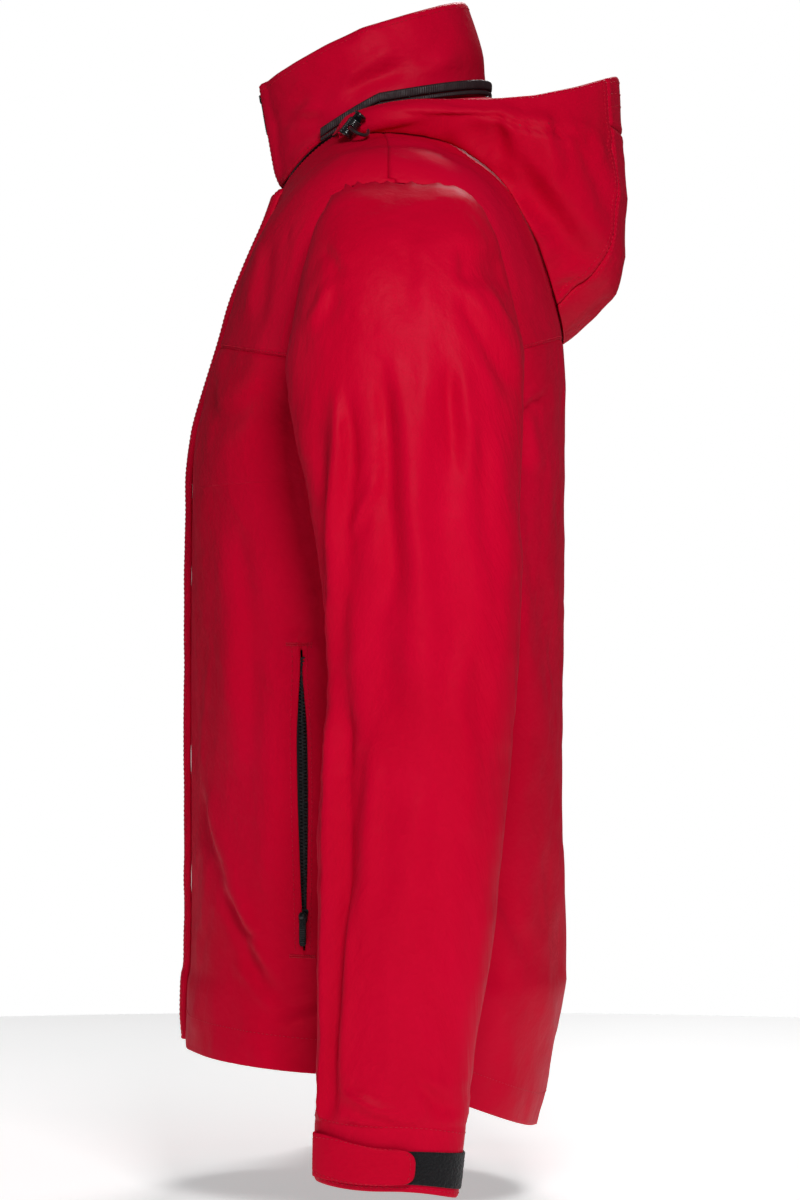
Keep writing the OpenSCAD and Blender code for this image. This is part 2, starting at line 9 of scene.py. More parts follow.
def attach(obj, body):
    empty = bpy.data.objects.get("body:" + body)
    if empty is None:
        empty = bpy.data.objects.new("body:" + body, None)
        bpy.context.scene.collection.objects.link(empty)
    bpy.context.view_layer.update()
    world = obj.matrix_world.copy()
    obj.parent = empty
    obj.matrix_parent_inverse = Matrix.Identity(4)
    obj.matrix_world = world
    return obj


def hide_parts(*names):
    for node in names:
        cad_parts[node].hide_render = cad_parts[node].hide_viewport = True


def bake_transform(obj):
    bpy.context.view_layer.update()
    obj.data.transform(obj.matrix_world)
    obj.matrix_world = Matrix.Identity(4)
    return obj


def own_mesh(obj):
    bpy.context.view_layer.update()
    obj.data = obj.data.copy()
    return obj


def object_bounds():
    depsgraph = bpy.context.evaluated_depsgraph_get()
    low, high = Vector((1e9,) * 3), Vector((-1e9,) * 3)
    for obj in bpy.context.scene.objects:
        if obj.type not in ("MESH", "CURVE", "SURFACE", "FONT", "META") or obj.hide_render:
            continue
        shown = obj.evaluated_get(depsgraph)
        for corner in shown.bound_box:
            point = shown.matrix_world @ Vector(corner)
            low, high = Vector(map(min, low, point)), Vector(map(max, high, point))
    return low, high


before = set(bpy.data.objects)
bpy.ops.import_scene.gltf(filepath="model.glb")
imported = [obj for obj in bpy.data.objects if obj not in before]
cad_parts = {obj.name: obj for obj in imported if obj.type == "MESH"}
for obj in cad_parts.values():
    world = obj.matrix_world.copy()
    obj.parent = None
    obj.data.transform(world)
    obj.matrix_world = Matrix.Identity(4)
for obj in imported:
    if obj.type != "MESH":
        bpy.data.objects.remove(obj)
cad_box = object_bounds()
MM = 0.001
SEED = 7
WORD = {1: "left", -1: "right"}

# ---- Camera and light --------------------------------------------------------
low, high = cad_box
camera = bpy.data.objects.new("camera", bpy.data.cameras.new("camera"))
bpy.context.scene.collection.objects.link(camera)
camera.data.lens = 141.9
camera.data.sensor_width = 36
camera.data.sensor_fit = "VERTICAL"
camera.data.sensor_height = 36
camera.data.clip_end = 50
camera.location = (3.5, 0.0185, -0.3034)
camera.rotation_euler = (math.radians(90), 0, math.radians(90))
bpy.context.scene.camera = camera
bpy.context.scene.view_settings.view_transform = "Standard"


def area_light(name, place, target, size, power):
    lamp = bpy.data.objects.new(name, bpy.data.lights.new(name, "AREA"))
    lamp.data.energy = power
    lamp.data.size = size
    lamp.location = place
    lamp.rotation_euler = (Vector(target) - Vector(place)).to_track_quat("-Z", "Y").to_euler()
    bpy.context.scene.collection.objects.link(lamp)


# name, place, target, size in metres, power in watts
area_light("key", (1.75, 0.22, 0.62), (0.15, 0.02, -0.26), 0.45, 23.5)
area_light("fill_front", (-0.3, -3.0, 0.9), (0, 0, -0.3), 1.4, 7)
area_light("fill_back", (-0.5, 3.0, 0.9), (0, 0, -0.3), 1.4, 3.5)
area_light("fill_right", (-1.3, 0.3, 1.0), (-0.15, 0.02, -0.3), 0.5, 17)
world = bpy.data.worlds.new("studio")
bpy.context.scene.world = world
world.use_nodes = True
sky = world.node_tree.nodes["Background"]
sky.inputs["Color"].default_value = (1, 1, 1, 1)
AMBIENT = 0.065


def white_behind():
    """The empty studio reads as white paper, while its own light stays low."""
    tree = world.node_tree
    paper = tree.nodes.new("ShaderNodeBackground")
    seen = tree.nodes.new("ShaderNodeLightPath")
    mix = tree.nodes.new("ShaderNodeMixShader")
    sky.inputs["Strength"].default_value = AMBIENT
    tree.links.new(seen.outputs["Is Camera Ray"], mix.inputs["Fac"])
    tree.links.new(sky.outputs["Background"], mix.inputs[1])
    tree.links.new(paper.outputs["Background"], mix.inputs[2])
    paper.inputs["Color"].default_value = (1, 1, 1, 1)
    tree.links.new(mix.outputs["Shader"], tree.nodes["World Output"].inputs["Surface"])


white_behind()


# ---- Materials ---------------------------------------------------------------
def material(name, colour, rough=0.6, metallic=0.0):
    m = bpy.data.materials.new(name)
    m.use_nodes = True
    tree = m.node_tree
    shader = tree.nodes["Principled BSDF"]
    shader.inputs["Base Color"].default_value = (*colour, 1)
    shader.inputs["Roughness"].default_value = rough
    shader.inputs["Metallic"].default_value = metallic
    return m, tree, shader


def node(tree, kind, **values):
    n = tree.nodes.new(kind)
    for key, value in values.items():
        if key in n.inputs:
            n.inputs[key].default_value = value
        else:
            setattr(n, key, value)
    return n


def noise_node(tree, coord, scale, detail=3.0, rough=0.55):
    n = node(tree, "ShaderNodeTexNoise", Scale=scale, Detail=detail, Roughness=rough)
    tree.links.new(coord, n.inputs["Vector"])
    return n.outputs["Fac"]


def ramp(tree, value, low_out, high_out, start=0.3, end=0.7):
    r = node(tree, "ShaderNodeMapRange")
    r.inputs["From Min"].default_value = start
    r.inputs["From Max"].default_value = end
    r.inputs["To Min"].default_value = low_out
    r.inputs["To Max"].default_value = high_out
    tree.links.new(value, r.inputs["Value"])
    return r.outputs["Result"]


def tint(tree, shader, factor, dark, light):
    mix = node(tree, "ShaderNodeMix", data_type="RGBA")
    for i in mix.inputs:
        if i.type == "RGBA":
            i.default_value = (*dark, 1) if i.name == "A" else (*light, 1)
    tree.links.new(factor, mix.inputs["Factor"])
    out = [o for o in mix.outputs if o.type == "RGBA"][0]
    tree.links.new(out, shader.inputs["Base Color"])


def bump(tree, shader, height, strength, distance, under=None):
    b = node(tree, "ShaderNodeBump")
    b.inputs["Strength"].default_value = strength
    b.inputs["Distance"].default_value = distance
    tree.links.new(height, b.inputs["Height"])
    if under is not None:
        tree.links.new(under, b.inputs["Normal"])
    tree.links.new(b.outputs["Normal"], shader.inputs["Normal"])
    return b.outputs["Normal"]


def weave_height(tree, pitch):
    """Threads over and under each other, from the piece's own flat coordinates."""
    uv = node(tree, "ShaderNodeTexCoord").outputs["UV"]
    waves = []
    # a wave texture of scale 1 has its bands 2 pi / 20 apart
    for axis in ("X", "Y"):
        w = node(tree, "ShaderNodeTexWave", wave_type="BANDS", bands_direction=axis)
        w.inputs["Scale"].default_value = 1 / pitch / 20 * 6.2832
        w.inputs["Distortion"].default_value = 0.4
        w.inputs["Detail"].default_value = 1.0
        tree.links.new(uv, w.inputs["Vector"])
        waves.append(w.outputs["Fac"])
    both = node(tree, "ShaderNodeMath", operation="MULTIPLY")
    tree.links.new(waves[0], both.inputs[0])
    tree.links.new(waves[1], both.inputs[1])
    return uv, both.outputs["Value"]


def cloth_material(name, dark, light, rough=0.5, sheen=0.2, pitch=0.0006, crinkle=1.0, shine=0.24):
    m, tree, shader = material(name, light, rough)
    uv, weave = weave_height(tree, pitch)
    patchy = noise_node(tree, uv, 5, 4)
    tint(tree, shader, ramp(tree, patchy, 0, 1, 0.35, 0.65), dark, light)
    uneven = ramp(tree, noise_node(tree, uv, 22, 3), rough - 0.05, rough + 0.07)
    tree.links.new(uneven, shader.inputs["Roughness"])
    shader.inputs["Sheen Weight"].default_value = sheen
    shader.inputs["Sheen Roughness"].default_value = 0.45
    shader.inputs["Sheen Tint"].default_value = (1, 0.06, 0.14, 1)
    shader.inputs["Specular IOR Level"].default_value = shine
    first = bump(tree, shader, noise_node(tree, uv, 28, 4, 0.6), 0.35 * crinkle, 0.0035)
    second = bump(tree, shader, noise_node(tree, uv, 110, 2), 0.12 * crinkle, 0.0008, first)
    bump(tree, shader, weave, 0.08, 0.0002, second)
    return m


RED_DARK, RED_LIGHT = (0.53, 0.0004, 0.020), (0.61, 0.0008, 0.028)
RED = cloth_material("shell_cloth_red", RED_DARK, RED_LIGHT, 0.5, 0.04, crinkle=1.6, shine=0.04)
RED_INSIDE = cloth_material("shell_cloth_inside", (0.30, 0.0008, 0.014), (0.36, 0.0012, 0.02), 0.6, 0.1)
MESH = cloth_material("lining_knit", (0.035, 0.032, 0.036), (0.07, 0.065, 0.07), 0.8, 0.3, 0.0016)
TAPE = cloth_material("zip_tape_weave", (0.012, 0.012, 0.013), (0.022, 0.022, 0.024), 0.75, 0.2, 0.0008,
                      0.4)
HOOD_TAPE = cloth_material("hood_zip_tape_weave", (0.015, 0.003, 0.005), (0.03, 0.006, 0.009), 0.7, 0.2,
                           0.0008, 0.4)
THREAD = cloth_material("stitching_thread", (0.46, 0.0006, 0.018), (0.60, 0.002, 0.030), 0.55, 0.05, 0.0004,
                        0.3)
CORD = cloth_material("braided_cord", (0.006, 0.006, 0.007), (0.02, 0.02, 0.022), 0.6, 0.3, 0.0011, 0.6)


def loop_pile_material():
    m, tree, shader = material("hook_and_loop_pile", (0.008, 0.008, 0.009), 0.95)
    uv = node(tree, "ShaderNodeTexCoord").outputs["UV"]
    fluff = noise_node(tree, uv, 900, 5, 0.7)
    tint(tree, shader, ramp(tree, fluff, 0, 1), (0.003, 0.003, 0.0035), (0.02, 0.02, 0.022))
    shader.inputs["Sheen Weight"].default_value = 0.15
    shader.inputs["Specular IOR Level"].default_value = 0.1
    cells = node(tree, "ShaderNodeTexVoronoi", Scale=620)
    tree.links.new(uv, cells.inputs["Vector"])
    under = bump(tree, shader, cells.outputs["Distance"], 0.6, 0.0006)
    bump(tree, shader, fluff, 0.5, 0.0005, under)
    return m


def moulded_material(name, dark, light, rough, metallic=0.0, coat=0.0):
    m, tree, shader = material(name, light, rough, metallic)
    coord = node(tree, "ShaderNodeTexCoord").outputs["Object"]
    grain = noise_node(tree, coord, 420, 4)
    tint(tree, shader, ramp(tree, grain, 0, 1), dark, light)
    uneven = ramp(tree, noise_node(tree, coord, 160, 3), rough * 0.8, min(1, rough * 1.3))
    tree.links.new(uneven, shader.inputs["Roughness"])
    shader.inputs["Coat Weight"].default_value = coat
    bump(tree, shader, grain, 0.12, 0.0002)
    return m


PILE = loop_pile_material()
LOCK = moulded_material("moulded_black_gloss", (0.004, 0.004, 0.005), (0.012, 0.012, 0.014), 0.22, coat=0.4)
TEETH = moulded_material("moulded_black_teeth", (0.008, 0.008, 0.009), (0.02, 0.02, 0.022), 0.35)
COIL = moulded_material("hood_zip_coil", (0.010, 0.002, 0.004), (0.022, 0.005, 0.008), 0.6)
ENAMEL = moulded_material("black_enamel_metal", (0.006, 0.006, 0.007), (0.03, 0.03, 0.032), 0.3, 0.6)
STEEL = moulded_material("spring_wire", (0.4, 0.4, 0.42), (0.6, 0.6, 0.62), 0.3, 1.0)
EYELET = moulded_material("dark_eyelet_metal", (0.03, 0.03, 0.032), (0.09, 0.09, 0.095), 0.32, 0.8)


# ---- Noise for folds -----------------------------------------------------------
TABLE = np.random.default_rng(SEED).random(65536)


def lattice(i, j, k):
    return TABLE[(i * 73856093 ^ j * 19349663 ^ k * 83492791) & 65535]


def noise(x, y, z=0.0):
    """Smooth value noise from -1 to 1 on arrays."""
    x, y, z = np.broadcast_arrays(np.asarray(x, float), np.asarray(y, float), np.asarray(z, float))
    i, j, k = (np.floor(v).astype(np.int64) for v in (x, y, z))
    f = [v - np.floor(v) for v in (x, y, z)]
    f = [t * t * t * (t * (t * 6 - 15) + 10) for t in f]
    total = 0
    for a in (0, 1):
        for b in (0, 1):
            for c in (0, 1):
                w = (f[0] if a else 1 - f[0]) * (f[1] if b else 1 - f[1]) * (f[2] if c else 1 - f[2])
                total = total + w * lattice(i + a, j + b, k + c)
    return 2 * total - 1


def folds(x, y, z=0.0):
    """Sharper crests than plain noise, as creased cloth has."""
    return 0.65 * noise(x, y, z) + 0.35 * (1 - 2 * np.abs(noise(x * 1.7 + 5, y * 1.7, z * 1.7 + 3)))


def bell(value, centre, width):
    return np.exp(-(((value - centre) / width) ** 2))


def smooth(value, start, end):
    t = np.clip((value - start) / (end - start), 0, 1)
    return t * t * (3 - 2 * t)


# The depth in metres of a drawn fold of height 1
FOLD_GAIN = 0.0017


def stroke(y, z, start, end, width, height):
    """A fold drawn between two points of the side view, in millimetres: a crest with a hollow on one side."""
    a, b = np.array(start) * MM, np.array(end) * MM
    d = b - a
    length = math.hypot(*d)
    t = ((y - a[0]) * d[0] + (z - a[1]) * d[1]) / length ** 2
    wander = 0.25 * width * MM * noise(t * 3.1 + start[0], start[1] * 0.37)
    off = ((y - a[0]) * -d[1] + (z - a[1]) * d[0]) / length + wander
    w = width * MM * (0.65 + 0.35 * np.clip(t, 0, 1))
    ends = smooth(t, -0.08, 0.22) * (1 - smooth(t, 0.7, 1.06))
    return height * FOLD_GAIN * ends * (bell(off, 0, w) - 0.65 * bell(off, 1.5 * w, 1.1 * w))


# ---- The jacket's surfaces -----------------------------------------------------
# A ring is front y, front z, back y, back z, outer x, outer z, inner x, inner z, squareness, slope.
def body_ring(front_y, front_z, back_y, back_z, half_w, side_z, square, slope=2):
    return [front_y, front_z, back_y, back_z, half_w, side_z, -half_w, side_z, square, slope]


def arm_ring(front_y, front_z, back_y, back_z, out_x, out_z, in_x, in_z, square=2.2, slope=2):
    return [front_y, front_z, back_y, back_z, out_x, out_z, in_x, in_z, square, slope]


BODY = [body_ring(-69, -2, 74, 30, 80, 40, 2.1),
        body_ring(-79, -30, 98, 2, 140, 21, 2.3),
        body_ring(-99, -78, 119, -48, 198, -8, 2.7),
        body_ring(-112, -121, 136, -114, 204, -136, 3),
        body_ring(-131, -188, 137.5, -182, 204, -186, 3),
        body_ring(-134, -245, 138, -238, 203, -242, 2.9),
        body_ring(-135, -366, 139, -366, 197, -366, 2.7),
        body_ring(-135, -550, 140, -552, 200, -550, 2.6),
        body_ring(-138, -585, 139, -594, 202, -586, 2.6),
        body_ring(-139, -626, 118, -685, 203, -635, 2.6, 1.1)]
SLEEVE = [arm_ring(-53, -119, 83, -119, 206.5, -12, 206.5, -226, 4.5, 3),
          arm_ring(-58, -128, 101, -128, 250, -26, 207, -232, 4.4, 2.8),
          arm_ring(-61, -146, 103, -146, 291, -64, 208, -238, 3.4, 2.5),
          arm_ring(-55, -184, 101.5, -184, 315, -124, 209, -246, 2.6),
          arm_ring(-46, -228, 99, -228, 323, -195, 210, -262),
          arm_ring(-35, -290, 100, -290, 327, -280, 213, -300),
          arm_ring(-30, -350, 99, -350, 327, -348, 217, -352),
          arm_ring(-35, -430, 93, -430, 326, -430, 225, -430),
          arm_ring(-38, -520, 83.5, -520, 324, -520, 236, -520),
          arm_ring(-38.3, -600, 71, -600, 321, -600, 246, -600),
          arm_ring(-39.5, -656, 63.5, -660, 318, -658, 254, -658),
          arm_ring(-40, -697, 58, -709, 316, -702, 258, -702)]
COLLAR = [body_ring(-70, 0, 75, 32, 80, 42, 2.1),
          body_ring(-74.5, 25.3, 80, 62, 82, 60, 2.15, 1.6),
          body_ring(-79, 50.7, 81, 92, 81, 84, 2.15, 1.3),
          body_ring(-83.5, 76, 67, 137, 76, 111, 2.15, 1)]
HOOD = [body_ring(-76, 6, 180, 81, 114, 56, 2.7),
        body_ring(-76, 6, 181.5, 38, 118, 52, 2.7, 1.9),
        body_ring(-75, 3, 184.5, -20, 122, 48, 2.7, 1.8),
        body_ring(-73, 2, 182, -64, 122, 44, 2.7, 1.65),
        body_ring(-70, 8, 167, -92, 118, 40.5, 2.7, 1.5),
        body_ring(-64, 16, 148, -110, 115, 37, 2.9, 1.3)]
NAPE = [body_ring(-62, -4, 145.5, -106.5, 112, 36, 2.7, 1.3),
        body_ring(-66, 0, 141, -84, 109, 40, 2.5, 1.5),
        body_ring(-70, 4, 129.5, -48, 105, 44, 2.4, 1.7),
        body_ring(-73, 10, 113, -14, 99, 49, 2.2)]
NECK = [body_ring(-73, 8, 110, -6, 93, 44, 2.2),
        body_ring(-75, 6, 97, 32, 91, 48, 2.2, 1.4),
        body_ring(-76.5, 4, 90, 66, 89, 51, 2.2, 1)]
ZIP_RING = [body_ring(-77.4, 4, 85.4, 68, 86.6, 53, 2.15, 1),
            body_ring(-78.2, 17, 85.8, 82, 86.4, 66, 2.15, 1)]


def arc(points, axis=0):
    """The distance run along a line or a grid of points, from its first."""
    return np.insert(np.cumsum(np.linalg.norm(np.diff(points, axis=axis), axis=-1), axis), 0, 0, axis)


def sampled(at, run, points, period=None):
    """The line's points at the distances asked for."""
    return np.stack([np.interp(at, run, points[:, c], period=period) for c in range(3)], -1)


def unit(vectors, least=1e-12):
    return vectors / np.maximum(np.linalg.norm(vectors, axis=-1, keepdims=True), least)


def rings_at(rows, s):
    rows = np.array(rows, float)
    last = len(rows) - 1
    s = np.asarray(s, float)
    i = np.clip(np.floor(s).astype(int), 0, last - 1)
    t = (s - i)[..., None]
    p0, p1 = rows[np.clip(i - 1, 0, last)], rows[i]
    p2, p3 = rows[i + 1], rows[np.clip(i + 2, 0, last)]
    return 0.5 * (2 * p1 + (p2 - p0) * t + (2 * p0 - 5 * p1 + 4 * p2 - p3) * t * t
                  + (3 * p1 - p0 - 3 * p2 + p3) * t * t * t)


def ring_point(rows, s, angle):
    """Points of the surface in metres; angle in degrees, 0 at the front and 90 at the outer side."""
    r = np.moveaxis(rings_at(rows, s), -1, 0)
    c, w = np.cos(np.radians(angle)), np.sin(np.radians(angle))
    p = 2 / r[8]
    across = np.sign(w) * np.abs(w) ** p
    z_side = (r[5] + r[7]) / 2 + (r[5] - r[7]) / 2 * across
    y = (r[0] + r[2]) / 2 - (r[2] - r[0]) / 2 * np.sign(c) * np.abs(c) ** p
    z = z_side + (np.where(c > 0, r[1], r[3]) - z_side) * np.abs(c) ** r[9]
    return np.stack([(r[4] + r[6]) / 2 + (r[4] - r[6]) / 2 * across, y, z], -1) * MM


def angle_of_x(rows, s, x):
    r = np.moveaxis(rings_at(rows, s), -1, 0)
    k = np.clip((2 * x / MM - r[4] - r[6]) / (r[4] - r[6]), 0, 1)
    return np.degrees(np.arcsin(k ** (r[8] / 2)))


def angle_of_y(rows, s, y):
    r = np.moveaxis(rings_at(rows, s), -1, 0)
    k = np.clip((r[0] + r[2] - 2 * y / MM) / (r[2] - r[0]), -1, 1)
    return np.degrees(np.arccos(np.sign(k) * np.abs(k) ** (r[8] / 2)))


def rows_evenly(rows, start, end, gap, angle=45.0, dense_start=False, dense_end=False):
    """Row positions from start to end, about gap metres apart, closer at a seam where asked."""
    fine = np.linspace(start, end, 400)
    p = ring_point(rows, fine, np.full(400, angle))
    run = arc(p)
    stops = spaced(run[-1], gap, dense_start, dense_end)
    return np.interp(stops, run, fine)


EDGE = np.array([0, 0.0012, 0.0026, 0.0045, 0.0075])


def spaced(length, gap, dense_start=True, dense_end=True):
    lead = EDGE if dense_start else EDGE[:1]
    tail = EDGE if dense_end else EDGE[:1]
    if length < 2.5 * EDGE[-1]:
        return np.linspace(0, length, max(3, int(length / 0.002)))
    a, b = lead[-1], length - tail[-1]
    n = max(2, int(round((b - a) / gap)))
    return np.concatenate([lead[:-1], np.linspace(a, b, n + 1), (length - tail[::-1])[1:]])


class Surface:
    """A grid on one of the surfaces: points P[row, column], normals N and flat coordinates U, V."""

    def __init__(self, rows, S, A, side=1, off=0.0):
        self.rows, self.S, self.A, self.side = rows, S, A, side
        self.P, self.N = ring_point(rows, S, A), self.normals()
        if side < 0:
            self.P[..., 0] *= -1
            self.N[..., 0] *= -1
        self.U, self.V = arc(self.P, 1), arc(self.P, 0)
        self.from_first, self.from_last = self.U, self.U[:, -1:] - self.U
        self.from_top, self.from_foot = self.V, self.V[-1:] - self.V
        self.P = self.P + self.N * np.asarray(off)[..., None]

    def normals(self):
        e = 0.01
        last = len(self.rows) - 1
        s0, s1 = np.clip(self.S - e, 0, last), np.clip(self.S + e, 0, last)
        a = ring_point(self.rows, self.S, self.A - 0.5) - ring_point(self.rows, self.S, self.A + 0.5)
        b = ring_point(self.rows, s1, self.A) - ring_point(self.rows, s0, self.A)
        return unit(np.cross(a, b))

    def push(self, amount):
        self.P = self.P + self.N * np.asarray(amount)[..., None]
        return self

    def seam(self, top=False, foot=False, first=False, last=False, depth=0.0013):
        """Cloth dips into a seam and stands a little proud beside it."""
        total = 0
        for on, d in ((top, self.from_top), (foot, self.from_foot), (first, self.from_first),
                      (last, self.from_last)):
            if on:
                total = total - depth * bell(d, 0, 0.0016) + 0.45 * depth * bell(d, 0.0045, 0.003)
        return self.push(total)


class Patch(Surface):
    """A grid whose rows are the s positions, with each row's own column angles."""

    def __init__(self, rows, s, angles, side=1, off=0.0):
        S = np.broadcast_to(np.asarray(s, float)[:, None], angles.shape)
        super().__init__(rows, S, angles, side, off)
        self.U = self.U - self.U[:, -1:] / 2


class EvenPatch(Patch):
    """A patch from one angle to another, its columns about gap metres apart."""

    def __init__(self, rows, s, first, last, gap, off=0.0, dense=(True, True), side=1):
        s = np.asarray(s, float)
        super().__init__(rows, s, self.columns(rows, s, first, last, gap, dense), side, off)

    @staticmethod
    def columns(rows, s, first, last, gap, dense):
        first, last = (np.broadcast_to(np.asarray(v, float), s.shape) for v in (first, last))
        angles = first[:, None] + (last - first)[:, None] * np.linspace(0, 1, 361)[None]
        run = arc(ring_point(rows, np.broadcast_to(s[:, None], angles.shape), angles), 1)
        mean = run[:, -1].mean()
        stops = spaced(mean, gap, *dense)
        lead, tail = (EDGE[-1] if on else 0.0 for on in dense)
        picks = []
        for length, steps, row in zip(run[:, -1], run, angles):
            if mean > 2.5 * EDGE[-1]:
                ends = [0, min(lead, length / 3), length - min(tail, length / 3), length]
                at = np.interp(stops, [0, lead, mean - tail, mean], ends)
            else:
                at = stops * length / mean
            picks.append(np.interp(at, steps, row))
        return np.array(picks)


def linked(name, mesh, mat=None):
    """A new object in the scene that shows the mesh."""
    obj = bpy.data.objects.new(name, mesh)
    bpy.context.scene.collection.objects.link(obj)
    if mat is not None:
        mesh.materials.append(mat)
    return obj


def from_bmesh(name, bm, mat=None):
    mesh = bpy.data.meshes.new(name)
    bm.to_mesh(mesh)
    bm.free()
    return linked(name, mesh, mat)


def mesh_object(name, points, faces, uv=None, mat=None, smooth_shade=True):
    mesh = bpy.data.meshes.new(name)
    points = np.asarray(points, float).reshape(-1, 3)
    mesh.from_pydata(points.tolist(), [], [tuple(int(i) for i in f) for f in faces])
    if uv is not None:
        layer = mesh.uv_layers.new(name="flat")
        loops = np.zeros(len(mesh.loops), np.int64)
        mesh.loops.foreach_get("vertex_index", loops)
        layer.data.foreach_set("uv", np.asarray(uv, float).reshape(-1, 2)[loops].astype(np.float32).ravel())
    if smooth_shade:
        mesh.polygons.foreach_set("use_smooth", [True] * len(mesh.polygons))
    mesh.update()
    return linked(name, mesh, mat)


def grid_faces(rows, cols, keep=None):
    faces = []
    for j in range(rows - 1):
        for i in range(cols - 1):
            if keep is None or keep[j, i]:
                at = j * cols + i
                faces.append((at, at + cols, at + cols + 1, at + 1))
    return faces


def cloth(name, patch, mat=RED, thick=0.0009, keep=None, inside=RED_INSIDE):
    """The patch as a cloth mesh with a thickness towards the inside."""
    faces = grid_faces(*patch.P.shape[:2], keep)
    if patch.side < 0:
        faces = [tuple(reversed(f)) for f in faces]
    obj = mesh_object(name, patch.P, faces, np.stack([patch.U, patch.V], -1), mat)
    return thicken(obj, thick, inside)


def thicken(obj, thick, inside=None):
    """Gives a sheet its thickness, towards its back, and the back its own material."""
    if inside is not None:
        obj.data.materials.append(inside)
    shell = obj.modifiers.new("cloth", "SOLIDIFY")
    shell.thickness = thick
    shell.offset = -1
    shell.use_even_offset = False
    shell.material_offset = 0 if inside is None else 1
    shell.material_offset_rim = 0
    bake_modifiers(obj)
    return obj


def bake_modifiers(obj):
    bpy.context.view_layer.update()
    graph = bpy.context.evaluated_depsgraph_get()
    mesh = bpy.data.meshes.new_from_object(obj.evaluated_get(graph), preserve_all_data_layers=True,
                                           depsgraph=graph)
    obj.modifiers.clear()
    obj.data = mesh


def finish_piece(obj, body, nodes=(), bend=None):
    """Ties the piece to its body, or, when a bend is given, bakes its placement into its mesh, and hides the
    CAD parts it stands for.
    """
    if bend:
        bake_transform(obj)
    else:
        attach(obj, body)
    if nodes:
        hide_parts(*nodes)
    return obj


def joined(name, parts):
    """Several meshes as one object, keeping their materials."""
    bm = bmesh.new()
    mats = []
    for part in parts:
        start = len(bm.faces)
        bm.from_mesh(part.data)
        bm.faces.ensure_lookup_table()
        for f in bm.faces[start:]:
            m = part.data.materials[f.material_index] if part.data.materials else None
            if m not in mats:
                mats.append(m)
            f.material_index = mats.index(m)
    obj = from_bmesh(name, bm)
    for m in mats:
        obj.data.materials.append(m)
    for part in parts:
        bpy.data.objects.remove(part)
    return obj


def stitch_line(points, normals, pitch=0.0034, length=0.0023, width=0.00058, lift=0.0001):
    """A row of short stitches along a line on the cloth."""
    run = arc(points)
    at = np.arange(pitch / 2, run[-1], pitch)
    p, n = sampled(at, run, points), unit(sampled(at, run, normals))
    d = unit(sampled(at + 0.0005, run, points) - sampled(at - 0.0005, run, points))
    b = np.cross(n, d)
    h, w = length / 2, width / 2
    ring = [(-h, 0, -0.3), (-h * 0.6, w, 0.4), (-h * 0.6, -w, 0.4), (-h * 0.5, 0, 1), (h * 0.6, w, 0.4),
            (h * 0.6, -w, 0.4), (h * 0.5, 0, 1), (h, 0, -0.3), (0, w, -0.5), (0, -w, -0.5)]
    pts, faces, uv = [], [], []
    shape = [(0, 1, 3), (0, 3, 2), (1, 4, 6, 3), (2, 3, 6, 5), (4, 7, 6), (5, 6, 7), (0, 8, 1), (1, 8, 4),
             (8, 7, 4),
             (0, 2, 9), (2, 5, 9), (9, 5, 7), (0, 9, 8), (8, 9, 7)]
    for q, nn, dd, bb in zip(p, n, d, b):
        k = len(pts)
        for x, y, z in ring:
            pts.append(q + dd * x + bb * y + nn * (lift + z * w))
            uv.append((x + k * 0.001, y))
        faces += [tuple(k + i for i in f) for f in shape]
    return mesh_object("stitches", pts, faces, uv, THREAD)


def patch_stitches(patch, which, distance, start=0.0, end=1.0, **kw):
    """Stitches that run at a distance from one edge of a patch."""
    field = {"top": patch.from_top, "foot": patch.from_foot, "first": patch.from_first,
             "last": patch.from_last}[which]
    across = which in ("top", "foot")
    line, norm = [], []
    lines = patch.P.shape[1] if across else patch.P.shape[0]
    for k in range(int(start * (lines - 1)), int(end * (lines - 1)) + 1):
        f = field[:, k] if across else field[k]
        P = patch.P[:, k] if across else patch.P[k]
        N = patch.N[:, k] if across else patch.N[k]
        if f[0] > f[-1]:
            f, P, N = f[::-1], P[::-1], N[::-1]
        line.append(sampled(distance, f, P))
        norm.append(sampled(distance, f, N))
    return stitch_line(np.array(line), np.array(norm), **kw)


def tube(name, points, radius, mat, sides):
    """A round bar along points, closed at both ends."""
    points = np.asarray(points, float)
    n = len(points)
    pts, uv, run = [], [], 0.0
    up = np.array([0.0, 0.0, 1.0])
    for k in range(n):
        a, b = points[max(k - 1, 0)], points[min(k + 1, n - 1)]
        d = (b - a) / max(np.linalg.norm(b - a), 1e-12)
        u = np.cross(d, up)
        u = u / np.linalg.norm(u) if np.linalg.norm(u) > 1e-3 else np.array([1.0, 0, 0])
        v = np.cross(d, u)
        if k:
            run += np.linalg.norm(points[k] - points[k - 1])
        for i in range(sides):
            t = 2 * math.pi * i / sides
            pts.append(points[k] + radius * (math.cos(t) * u + math.sin(t) * v))
            uv.append((run, radius * t))
    faces = []
    for at in range(0, (n - 1) * sides, sides):
        for i in range(sides):
            j = (i + 1) % sides
            faces.append((at + i, at + j, at + sides + j, at + sides + i))
    faces.append(tuple(range(sides - 1, -1, -1)))
    faces.append(tuple((n - 1) * sides + i for i in range(sides)))
    return mesh_object(name, pts, faces, uv, mat)


# ---- Hood cords: they lie where their CAD solids lie ---------------------------
CORD_ROUTE = [(114.2, -17, 33.5), (117.1, -17, 33.5), (120.3, -17, 33.5), (123.6, -17, 33.5),
              (127.6, -17, 33.4), (131.6, -16.8, 32.9), (134.9, -16, 31.5), (137, -14, 29.8),
              (137.5, -11, 28.2), (136, -8, 27.4), (133.2, -5.8, 27.6), (129.6, -4.6, 28.8),
              (126.1, -4.2, 30.4), (123.1, -4.2, 31.8)]
CORD_D = 0.0026


